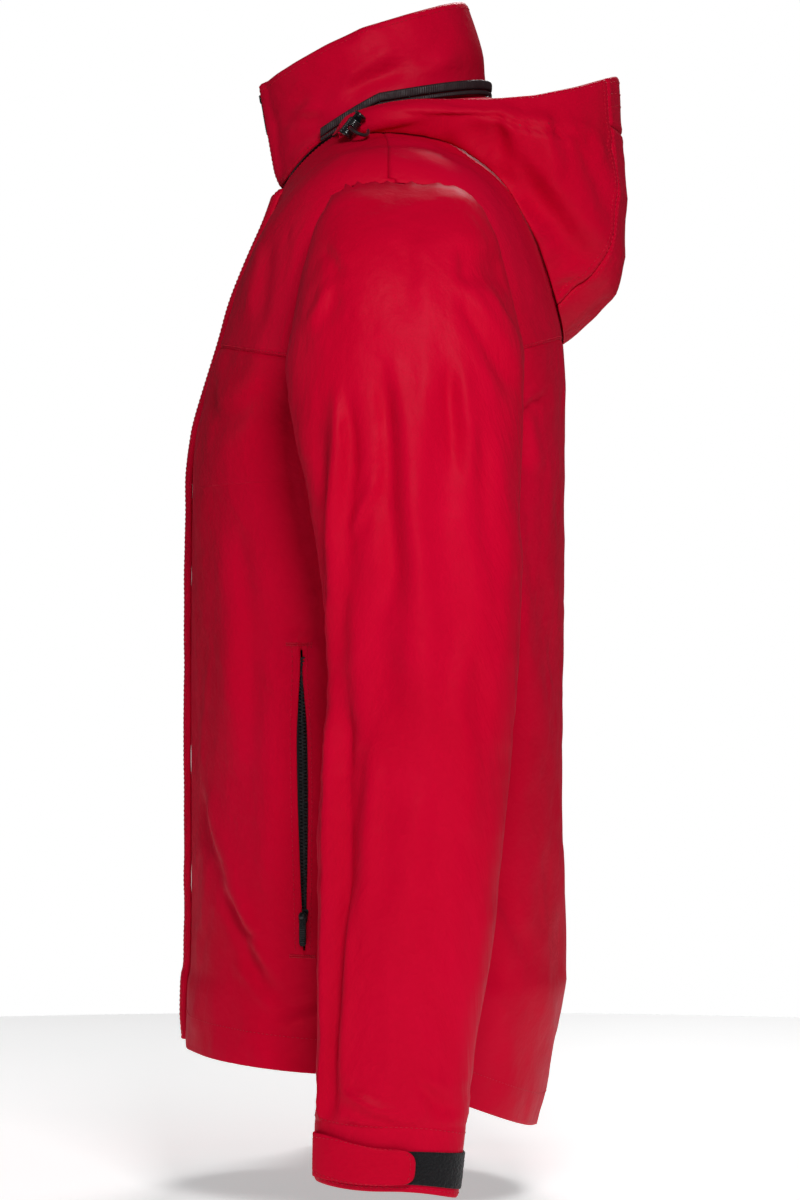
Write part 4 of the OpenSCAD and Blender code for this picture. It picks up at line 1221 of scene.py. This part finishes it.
def hood_folds(P, S, A, side_fade):
    x, y, z = P[..., 0], P[..., 1], P[..., 2]
    drawn = sum(stroke(y, z, *f) for f in HOOD_FOLDS) * smooth(np.abs(x), 0.045, 0.085)
    along = y + 0.25 * np.abs(x)
    slant = (z + 0.75 * y) * 30
    drape = 0.0032 * folds(slant * 0.55, along * 7, x * 4) + 0.0024 * noise(x * 15, y * 15, z * 15 + 2)
    bag = 0.0020 * bell(S, 3.1 + 0.5 * noise(along * 9, 1.0), 0.7)
    seam_z = np.interp(y, [0.02, 0.09, 0.102, 0.175], [0.0435, 0.042, 0.036, 0.024])
    seam_on = smooth(y, 0.01, 0.035) if side_fade else 0.0
    channel = (0.0011 * bell(z, seam_z + 0.006, 0.005) - 0.0022 * bell(z, seam_z, 0.0016)
               + 0.0010 * bell(z, seam_z - 0.004, 0.003)) * seam_on
    fine = 0.0006 * noise(x * 60, y * 60, z * 60) + 0.0008 * folds(y * 34, z * 40, x * 20)
    uneven = 0.5 + 0.5 * noise(along * 30, 0.5)
    pucker = 0.0007 * bell(z, seam_z, 0.008) * seam_on * np.sin(along * 2 * math.pi / 0.0075) * uneven
    calm = smooth(A, HOOD_FROM, HOOD_FROM + 14) if side_fade else 1.0
    return (drape * smooth(S, 0.1, 1.6) + bag + fine + drawn) * calm + channel + pucker


shoulder = ring_point(BODY, *np.meshgrid(np.linspace(0, 3.6, 110), np.linspace(20, 180, 240),
                                         indexing="ij"))
shoulder = shoulder.reshape(-1, 3)


def settle(patch, gap, weight):
    """Draws an edge of the lying hood down to the shoulders and the back, as its own weight does."""
    foot = patch.P[-1].copy()
    for i, leave in enumerate(np.broadcast_to(gap, len(foot))):
        mirror = (np.sign(foot[i, 0]), 1, 1)
        reach = shoulder - foot[i] * mirror
        near = reach[np.argmin((reach ** 2).sum(1))]
        far = np.linalg.norm(near)
        near = near * mirror * max(0.0, far - leave) / far
        patch.P[:, i] += near * weight[:, i, None]


hood_s = rows_evenly(HOOD, 0, 5, 0.0036, 120, True, True)
hood_bend = ("shell", "hood", (0, 0.07, 0.05), (0, 0.14, -0.02))
for side in (1, -1):
    word = WORD[side]
    patch = EvenPatch(HOOD, hood_s, HOOD_FROM, CENTRE_FROM, 0.0036, side=side)
    front = 1 - smooth(patch.A, HOOD_FROM, HOOD_FROM + 10)
    patch.push(hood_folds(patch.P, patch.S, np.where(patch.A > 180, 360 - patch.A, patch.A), True))
    patch.push(-0.0040 * front * bell(patch.from_first, 0, 0.006))
    patch.seam(last=True)
    settle(patch, 0.0013 + 0.0021 * smooth(patch.A[-1], 118, 132), smooth(patch.S, 3.3, 5.0))
    patch.push(-0.0012 * bell(patch.from_top, 0, 0.0011) - 0.0006 * bell(patch.from_foot, 0, 0.0011))
    parts = [cloth("hood", patch), patch_stitches(patch, "last", 0.0024),
             patch_stitches(patch, "last", 0.0075),
             patch_stitches(patch, "top", 0.0028), patch_stitches(patch, "first", 0.003)]
    obj = finish_piece(joined("cloth_hood_" + word, parts), "", [f"hood_{word}_panel"],
                       hood_bend)

centre_s = rows_evenly(HOOD, 1, 5, 0.0045, 180, True, True)
centre = EvenPatch(HOOD, centre_s, CENTRE_FROM, 360.0 - CENTRE_FROM, 0.0046)
centre.push(hood_folds(centre.P, centre.S, centre.A, False))
centre.seam(top=True, first=True, last=True)
settle(centre, 0.0034, smooth(centre.S, 3.3, 5.0))
parts = [cloth("hood", centre), patch_stitches(centre, "first", 0.0024),
         patch_stitches(centre, "last", 0.0024)]
centre_piece = finish_piece(joined("cloth_hood_centre", parts), "", ["hood_centre_panel"],
                            hood_bend)

brim_s = rows_evenly(HOOD, 0, 1, 0.003, 180, True, True)
brim = EvenPatch(HOOD, brim_s, CENTRE_FROM, 360.0 - CENTRE_FROM, 0.0046)
brim.push(hood_folds(brim.P, brim.S, brim.A, False) * 0.6)
brim.seam(foot=True, first=True, last=True)
brim.push(-0.001 * bell(brim.from_top, 0, 0.0011))
parts = [cloth("brim", brim, thick=0.0022)]
parts += [patch_stitches(brim, "top", gap) for gap in (0.0035, 0.0125, 0.0215)]
brim_piece = finish_piece(joined("cloth_hood_brim", parts), "", ["hood_brim"], hood_bend)


def under_piece(name, rows, s, first, last, cad, body, bend=None):
    patch = EvenPatch(rows, s, first, last, 0.0055, 0.0009)
    inner = smooth(patch.from_top, 0, 0.02) * smooth(patch.from_foot, 0, 0.02)
    patch.push(0.0012 * noise(*np.moveaxis(patch.P * 22, -1, 0)) * inner)
    if bend:
        settle(patch, 0.0018, 1 - smooth(patch.S, 0.0, 1.6))
    obj = cloth(name, patch, RED, 0.0012)
    finish_piece(obj, body, [cad], bend)


under_piece("cloth_hood_nape", NAPE, np.linspace(2, 0, 30), 128, 232, "hood_nape_panel", "", hood_bend)
under_piece("cloth_hood_neck", NECK, np.linspace(2, 0, 22), 66, 294, "hood_neck_panel", "shell")


def coil_strip(name, cad, s0, s1, body):
    """Half of the hood's zip: woven tape with the coil's ribs across it."""
    s = np.linspace(s1, s0, 15)
    a = np.linspace(60, 300, 1100)
    A = np.broadcast_to(a[None], (15, 1100))
    S = np.broadcast_to(s[:, None], A.shape)
    P = ring_point(ZIP_RING, S, A)
    e = 0.02
    n = np.cross(ring_point(ZIP_RING, S, A - 0.5) - ring_point(ZIP_RING, S, A + 0.5),
                 ring_point(ZIP_RING, np.clip(S - e, -0.1, 1), A)
                 - ring_point(ZIP_RING, np.clip(S + e, -0.1, 1), A))
    n = unit(n)
    run = arc(P[7])
    v = np.abs(np.linspace(-1, 1, 15))[:, None]
    crown = 0.0009 * np.sqrt(np.clip(1 - v ** 3, 0, 1)) - 0.0004
    ribs = 0.00055 * np.abs(np.sin(math.pi * run / 0.0018))[None] ** 0.7 * (1 - v ** 6)
    P = P + n * (crown + ribs)[..., None]
    uv = np.stack([np.broadcast_to(run[None], A.shape), np.broadcast_to(s[:, None] * 0.012, A.shape)], -1)
    obj = mesh_object(name, P, grid_faces(15, 1100), uv, COIL)
    finish_piece(thicken(obj, 0.0012, HOOD_TAPE), body, [cad])


coil_strip("zip_hood_upper", "hood_zip_hood_half", -0.02, 0.27, "shell")
coil_strip("zip_collar_lower", "hood_zip_collar_half", 0.30, 0.72, "shell")


# ---- Cord locks ----------------------------------------------------------------
LOCK_AT = Vector((0.1236, -0.017, 0.0335))
LOCK_TILT = math.radians(-38)
LOCK_R, LOCK_LEN = 0.0054, 0.014


def lathe(name, profile, mat, steps=40):
    bm = bmesh.new()
    verts = [bm.verts.new((r, 0, z)) for r, z in profile]
    edges = [bm.edges.new((a, b)) for a, b in zip(verts, verts[1:])]
    bmesh.ops.spin(bm, geom=verts + edges, cent=(0, 0, 0), axis=(0, 0, 1), angle=2 * math.pi, steps=steps,
                   use_merge=True)
    bmesh.ops.remove_doubles(bm, verts=bm.verts, dist=1e-6)
    bmesh.ops.recalc_face_normals(bm, faces=bm.faces)
    obj = from_bmesh(name, bm, mat)
    obj.data.polygons.foreach_set("use_smooth", [True] * len(obj.data.polygons))
    return obj


def place(obj, at, turn):
    """Moves the mesh itself, so the object stays at the origin."""
    obj.data.transform(Matrix.Translation(at) @ turn)


def drill(obj, at, direction, radius, length=0.03, slot=0.0):
    """Bores a round hole, or an upright slot, through a mesh."""
    bm = bmesh.new()
    bmesh.ops.create_cone(bm, cap_ends=True, segments=24, radius1=radius, radius2=radius, depth=length)
    bmesh.ops.rotate(bm, verts=bm.verts, cent=(0, 0, 0),
                     matrix=Vector(direction).to_track_quat("Z", "Y").to_matrix())
    if slot:
        for v in bm.verts:
            if v.co.z > 0:
                v.co.z += slot
    bmesh.ops.translate(bm, verts=bm.verts, vec=at)
    cutter = from_bmesh("bore", bm)
    cut = obj.modifiers.new("bore", "BOOLEAN")
    cut.object = cutter
    cut.operation = "DIFFERENCE"
    cut.solver = "EXACT"
    bake_modifiers(obj)
    bpy.data.objects.remove(cutter)


def cord_lock(side, word):
    turn = Matrix.Rotation(LOCK_TILT, 4, "X")
    at = Vector((LOCK_AT.x * side, LOCK_AT.y, LOCK_AT.z))
    r, h = LOCK_R, LOCK_LEN / 2
    profile = [(0, -h), (r - 0.0016, -h), (r - 0.0006, -h + 0.0004), (r - 0.0001, -h + 0.0014)]
    z = -h + 0.0022
    while z < h - 0.0024:
        crest, hollow = r - 0.00005, r - 0.00045
        profile += [(crest, z), (crest, z + 0.0006), (hollow, z + 0.0009), (hollow, z + 0.0012)]
        z += 0.0015
    profile += [(r, h - 0.0014), (r - 0.0003, h - 0.0004), (r - 0.0009, h), (r - 0.0012, h - 0.0002),
                (r - 0.0012, -h + 0.002), (0, -h + 0.002)]
    barrel = lathe("lock_barrel_" + word, profile, LOCK)
    drill(barrel, (0, 0, 0), (1, 0, 0), CORD_D / 2 + 0.0007)
    place(barrel, at, turn)
    finish_piece(barrel, "shell", [word + "_hood_cord_lock"])
    stem = LOCK_R - 0.0016
    top = h + 0.0058
    cap = LOCK_R - 0.0002
    profile = [(0, -0.0016), (stem - 0.0003, -0.0016), (stem, -0.0013), (stem, h + 0.0036),
               (cap - 0.0006, h + 0.0038), (cap, h + 0.0043),
               (cap - 0.0001, h + 0.0050), (cap - 0.0008, top - 0.0002), (cap - 0.0018, top),
               (cap - 0.0026, top - 0.0003), (0, top - 0.0006)]
    button = lathe("lock_button_" + word, profile, LOCK)
    drill(button, (0, 0, 0), (1, 0, 0), CORD_D / 2 + 0.0007, slot=0.0034)
    place(button, at, turn)
    finish_piece(button, word + "_lock_button", [word + "_lock_button"])
    turns = np.linspace(0, 2 * math.pi * 2.6, 110)
    zs = -0.0049 + 0.0024 * turns / turns[-1]
    wire = tube("lock_spring_" + word, np.stack([0.0026 * np.cos(turns), 0.0026 * np.sin(turns), zs], -1),
                0.00032, STEEL, 8)
    place(wire, at, turn)
    finish_piece(wire, "shell", [word + "_lock_spring"])
    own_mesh(wire)


for side, word in WORD.items():
    cord_lock(side, word)

eyelets = []
for side in (1, -1):
    ring = lathe("eyelet", [(0.0020, -0.0004), (0.0024, 0.0005), (0.0031, 0.0009), (0.0038, 0.0007),
                            (0.0041, 0.0001), (0.0041, -0.0005),
                            (0.0030, -0.0008), (0.0020, -0.0004)], EYELET)
    place(ring, Vector((CORD_ROUTE[0][0] * MM * side, -0.017, 0.0335)),
          Matrix.Rotation(math.radians(90 * side), 4, "Y"))
    eyelets.append(ring)
finish_piece(joined("eyelets_hood", eyelets), "shell", ["hood_eyelets"])


# ---- Sliders and pulls -----------------------------------------------------------
def extruded(outline, y0, y1, bevel, mat):
    """A bevelled plate: an outline of (x, z) points between two depths."""
    bm = bmesh.new()
    face = bm.faces.new([bm.verts.new((x, y0, z)) for x, z in outline])
    grown = bmesh.ops.extrude_face_region(bm, geom=[face])
    bmesh.ops.translate(bm, vec=(0, y1 - y0, 0),
                        verts=[v for v in grown["geom"] if isinstance(v, bmesh.types.BMVert)])
    bmesh.ops.recalc_face_normals(bm, faces=bm.faces)
    sharp = [e for e in bm.edges if abs(e.verts[0].co.y - e.verts[1].co.y) < 1e-6]
    bmesh.ops.bevel(bm, geom=sharp, offset=bevel, segments=2, affect="EDGES")
    return from_bmesh("plate", bm, mat)


def upright(x0, x1, z0, z1):
    """Outline of a plain upright rectangle."""
    return [(x0, z0), (x1, z0), (x1, z1), (x0, z1)]


def rounded(w_top, w_foot, z_top, z_foot, r, steps=5):
    """Outline of an upright plate with rounded corners, wider or narrower at its foot."""
    out = []
    corners = [(w_top / 2, z_top, 0), (-w_top / 2, z_top, 90), (-w_foot / 2, z_foot, 180),
               (w_foot / 2, z_foot, 270)]
    for x, z, start in corners:
        cx, cz = x - math.copysign(r, x), z - math.copysign(r, z - (z_top + z_foot) / 2)
        for k in range(steps + 1):
            t = math.radians(start + 90 * k / steps)
            out.append((cx + r * math.cos(t), cz + r * math.sin(t)))
    return out


def slider_parts(w, h):
    front = extruded(rounded(w, w * 0.8, h / 2, -h / 2, 0.0018), -0.0031, -0.0017, 0.0004, ENAMEL)
    rear = extruded(rounded(w, w * 0.8, h / 2, -h / 2, 0.0018), 0.0030, 0.0043, 0.0004, ENAMEL)
    parts = [front, rear]
    for x in (-1, 1):
        for y0, y1 in ((-0.0018, -0.0003), (0.0023, 0.0031)):
            strip = [(x * (w / 2 - 0.0002), h / 2 - 0.0015), (x * (w / 2 - 0.0012), h / 2 - 0.0013),
                     (x * (w * 0.4 - 0.0004), -h / 2 + 0.0013), (x * (w * 0.4 + 0.0003), -h / 2 + 0.0015)]
            parts.append(extruded(strip if x > 0 else strip[::-1], y0, y1, 0.0002, ENAMEL))
    parts.append(extruded(upright(-0.0002, 0.0002, 0.0004, h / 2 - 0.0004), -0.002, 0.0036, 0.00005,
                          ENAMEL))
    return parts


PIN_OUT = 0.0042
slide_p, slide_n, _ = strip_frame(np.array([0.42, 2.8]))
pull_top, pull_foot = (Vector(at) for at in slide_p + slide_n * -0.002)
front_lean = math.atan2(pull_top.y - pull_foot.y, pull_top.z - pull_foot.z)
slider_turn = Matrix.Rotation(-front_lean, 4, "X")

bridge = extruded(upright(-0.0011, 0.0011, -0.0030, 0.0034), -0.0056, -0.0028, 0.0005, ENAMEL)
drill(bridge, (0, -PIN_OUT, 0.0014), (1, 0, 0), 0.0009, 0.01)
front_slider = joined("slider_front", slider_parts(0.009, 0.012) + [bridge])
place(front_slider, pull_top, slider_turn)
finish_piece(front_slider, "front_zip_slider", ["front_zip_slider"])

pin_at = pull_top + slider_turn @ Vector((0, -PIN_OUT, 0.0014))
pin = tube("pin", [(-0.0026, 0, 0), (0, 0, 0), (0.0026, 0, 0)], 0.0006, ENAMEL, 12)
arms = [extruded(upright(x, x + 0.0014, -0.0092, 0.0004), -0.0007, 0.0007, 0.0003, ENAMEL)
        for x in (-0.0034, 0.0020)]
tongue = extruded(rounded(0.0068, 0.0056, -0.0085, -0.028, 0.0016), -0.0007, 0.0007, 0.00035, ENAMEL)
grips = [extruded(upright(-0.0021, 0.0021, z, z + 0.0007), -0.00095, 0.00095, 0.0002, TEETH)
         for z in np.arange(-0.0255, -0.0125, 0.0016)]
front_pull = joined("pull_front", [pin, tongue] + arms + grips)
place(front_pull, pin_at, slider_turn)
finish_piece(front_pull, "front_zip_pull", ["front_zip_pull"])


# ---- Hand pocket zips ------------------------------------------------------------
POCKET_TURN = math.radians(73)
POCKET_LEN = 0.208
POCKET_SINK = 0.0034
SLIDER_SHARE = 0.88
pocket_a, pocket_b = (Vector(ring_point(BODY, np.array([v]), np.array([POCKET_ANGLE]))[0])
                      for v in (SLIT_TOP, SLIT_FOOT))
pocket_dir = (pocket_a - pocket_b).normalized()
pocket_lean = math.asin(pocket_dir.x * math.cos(POCKET_TURN) + pocket_dir.y * math.sin(POCKET_TURN))


def at_pocket(obj, share, side):
    frame_matrix = (Matrix.Translation(pocket_a.lerp(pocket_b, share)) @ Matrix.Rotation(POCKET_TURN, 4, "Z")
                    @ Matrix.Rotation(pocket_lean, 4, "Y") @ Matrix.Translation((0, POCKET_SINK, 0)))
    obj.data.transform(frame_matrix)
    if side < 0:
        obj.data.transform(Matrix.Scale(-1, 4, (1, 0, 0)))
        obj.data.flip_normals()


def pocket_tape(m, side):
    """One tape of a pocket zip, just behind the panel's lip."""
    fine = np.linspace(60, 88, 600)
    p = ring_point(BODY, np.full(600, POCKET_ROW), fine)
    run = arc(p)
    middle = np.interp(POCKET_ANGLE, fine, run)
    offsets = np.array([0.0014, 0.0028, 0.0042, 0.0056, 0.0075, 0.0105, 0.0132])
    angles = np.interp(middle + m * offsets, run, fine)
    S, A = np.meshgrid(np.linspace(SLIT_TOP, SLIT_FOOT, 70), angles if m > 0 else angles[::-1],
                       indexing="ij")
    tape = Surface(BODY, S, A, side, -0.0023)
    share = (tape.P[..., 2] - pocket_a.z) / (pocket_b.z - pocket_a.z)
    reach = offsets[None] if m > 0 else offsets[None, ::-1]
    facing = np.array([math.sin(POCKET_TURN), -math.cos(POCKET_TURN), 0])
    along = np.array([math.cos(POCKET_TURN), math.sin(POCKET_TURN), 0])
    a, b = np.array(pocket_a), np.array(pocket_b)
    straight = a + (b - a) * share[..., None] + along * (m * reach)[..., None]
    straight = straight - facing * (POCKET_SINK + 0.0006)
    if side < 0:
        straight = straight * (-1, 1, 1)
    tape.P = straight + (tape.P - straight) * smooth(reach, 0.0042, 0.0075)[..., None]
    tape.push(0.0002 * noise(tape.P[..., 2] * 60, tape.A))
    return cloth("tape", tape, TAPE, 0.0006, inside=TAPE)


for side, word in WORD.items():
    z = np.linspace(-POCKET_LEN / 2, POCKET_LEN / 2, 60)[::-1]
    tapes, parts = [], []
    for m in (1, -1):
        tapes.append(pocket_tape(m, side))
        line = np.stack([np.zeros(60), np.full(60, 0.0003), z * 0.965], -1)
        axes = (np.tile(axis, (60, 1)) for axis in ((1.0, 0, 0), (0, -1.0, 0), (0, 0, -1.0)))
        parts.append(teeth(line, *axes, m, 0.0024, (0.0034, 0.0024, 0.0013)))
    rows_piece = joined("rows", parts)
    at_pocket(rows_piece, 0.5, side)
    zip_piece = joined("zip_pocket_" + word, tapes + [rows_piece])
    finish_piece(zip_piece, "shell", [word + "_pocket_zip"])
    stud = lathe("stud", [(0, 0), (0.0014, 0), (0.0011, 0.0006), (0.0011, 0.0042), (0.0019, 0.0045),
                          (0.0021, 0.0048),
                          (0.0018, 0.0051), (0, 0.0052)], ENAMEL, 24)
    place(stud, (0, -0.0029, 0), Matrix.Rotation(math.radians(90), 4, "X"))
    slider = joined("slider_pocket_" + word, slider_parts(0.008, 0.010) + [stud])
    slider.data.transform(Matrix.Translation((0, 0.0001, 0)))
    at_pocket(slider, SLIDER_SHARE, side)
    finish_piece(slider, word + "_pocket_slider", [word + "_pocket_slider"])
    eye = [(0.003 * math.cos(math.radians(t)), 0.003 * math.sin(math.radians(t)))
           for t in range(-30, 211, 12)]
    outline = eye + [(-0.0024, -0.004), (-0.0024, -0.0195), (-0.0012, -0.021), (0.0012, -0.021),
                     (0.0024, -0.0195), (0.0024, -0.004)]
    plate = extruded(outline, -0.0064, -0.0048, 0.00035, ENAMEL)
    drill(plate, (0, -0.0054, 0), (0, 1, 0), 0.0014, 0.01)
    ridges = [extruded(upright(-0.0016, 0.0016, v, v + 0.0006), -0.0066, -0.0046, 0.00015, TEETH)
              for v in np.arange(-0.0185, -0.0085, 0.0015)]
    pull = joined("pull_pocket_" + word, [plate] + ridges)
    pull.data.transform(Matrix.Rotation(-pocket_lean, 4, "Y"))
    at_pocket(pull, SLIDER_SHARE, side)
    finish_piece(pull, word + "_pocket_pull", [word + "_pocket_pull"])


# ---- Cuffs -----------------------------------------------------------------------
S_TAB_TOP, S_TAB_END = 10 + 8 / 46, 10 + 38 / 46


def pile_on_cuff(name, side, s0, s1, a0, a1, off, body, cad, thick):
    n = int((s1 - s0) * 46 / 0.9) + 2
    m = int((a1 - a0) * 0.9)
    S, A = np.meshgrid(np.linspace(s0, s1, n), np.linspace(a0, a1, m), indexing="ij")
    patch = Surface(SLEEVE, S, A, side, off)
    rim = smooth(np.minimum(np.minimum(patch.from_first, patch.from_last),
                            np.minimum(patch.from_top, patch.from_foot)), 0, 0.0012)
    patch.push(0.0003 * noise(patch.U * 800, patch.V * 800) * rim + 0.0004 * (rim - 1))
    parts = [cloth("pile", patch, PILE, thick, inside=PILE)]
    finish_piece(joined(name, parts), body, [cad])


for side, word in WORD.items():
    pile_on_cuff("loop_patch_cuff_" + word, side, S_TAB_TOP + 0.14, S_TAB_END - 0.02, 62, 205, 0.0014,
                 word + "_sleeve", word + "_cuff_loop_patch", 0.0011)
    pile_on_cuff("hook_patch_cuff_" + word, side, S_TAB_TOP + 0.18, S_TAB_END - 0.16, 66, 90, 0.0030,
                 word + "_cuff_tab", word + "_cuff_hook_patch", 0.0009)
    v = np.linspace(0, 1, 22)[:, None]
    k = np.linspace(0, 1, 60)[None]
    w = 2 * v - 1
    A = 12 + (109 - 16 * (1 - np.sqrt(np.clip(1 - np.abs(w) ** 3.4, 0, 1))) - 12) * k
    top_s = S_TAB_TOP - 0.03 + 0.13 * smooth(k, 0.25, 1.0)
    S = top_s + (S_TAB_END - top_s) * v
    S, A = np.broadcast_arrays(S, A)
    lift = 0.0010 + 0.0035 * smooth(k, 0.0, 0.10)
    tab = Surface(SLEEVE, S, A, side, lift)
    rim = np.minimum(np.minimum(tab.from_top, tab.from_foot), tab.from_last)
    tab.push(-0.0007 * bell(rim, 0, 0.0012) + 0.0003 * noise(tab.U * 40, tab.V * 60)
             - 0.00035 * bell(rim, 0.0032, 0.0008))
    tab_parts = [cloth("tab", tab, thick=0.0014), patch_stitches(tab, "top", 0.0032, end=0.95),
                 patch_stitches(tab, "foot", 0.0032, end=0.95),
                 patch_stitches(tab, "last", 0.0034, start=0.1, end=0.9),
                 patch_stitches(tab, "first", 0.0030)]
    cuff_tab = joined("cuff_tab_" + word, tab_parts)
    finish_piece(cuff_tab, word + "_cuff_tab", [word + "_cuff_tab"])


# ---- Hang loop -------------------------------------------------------------------
x = np.linspace(-0.0238, 0.0238, 60)
rise = 1 - smooth(np.abs(x), 0.014, 0.0235)
v = np.linspace(0, 1, 10)[:, None]
back = 0.0652 - rise[None] * (0.0018 + 0.0028 * v)
P = np.stack(np.broadcast_arrays(x[None], back, 0.0415 - 0.0125 * v), -1)
uv = np.stack(np.broadcast_arrays(x[None], 0.0125 * v), -1)
band = thicken(mesh_object("loop", P, grid_faces(10, 60), uv, TAPE), 0.0011)
tacks = []
for side in (-1, 1):
    for k in range(3):
        at = np.array((side * (0.0212 + 0.0008 * k), 0.0648, 0.0355))
        tacks.append(box_cloud("tack", [at], [np.eye(3)], (0.0005, 0.0016, 0.0105), 0.0001, THREAD))
finish_piece(joined("hang_loop_tape", [band] + tacks), "shell", ["hang_loop"])


# ---- Floor -------------------------------------------------------------------
FLOOR_GLOW = 0.42


def studio_floor():
    m, tree, shader = material("studio_paper", (0.92, 0.92, 0.92), 0.9)
    coord = node(tree, "ShaderNodeTexCoord").outputs["Object"]
    tint(tree, shader, ramp(tree, noise_node(tree, coord, 3, 3), 0, 1), (0.92, 0.92, 0.92),
         (0.95, 0.95, 0.95))
    shader.inputs["Emission Color"].default_value = (1, 1, 1, 1)
    shader.inputs["Emission Strength"].default_value = FLOOR_GLOW
    floor_z = low[2] - 0.03
    bm = bmesh.new()
    bmesh.ops.create_circle(bm, cap_ends=True, segments=96, radius=1.5)
    bmesh.ops.translate(bm, verts=bm.verts, vec=(0, 0, floor_z))
    from_bmesh("studio_floor", bm, m)


studio_floor()
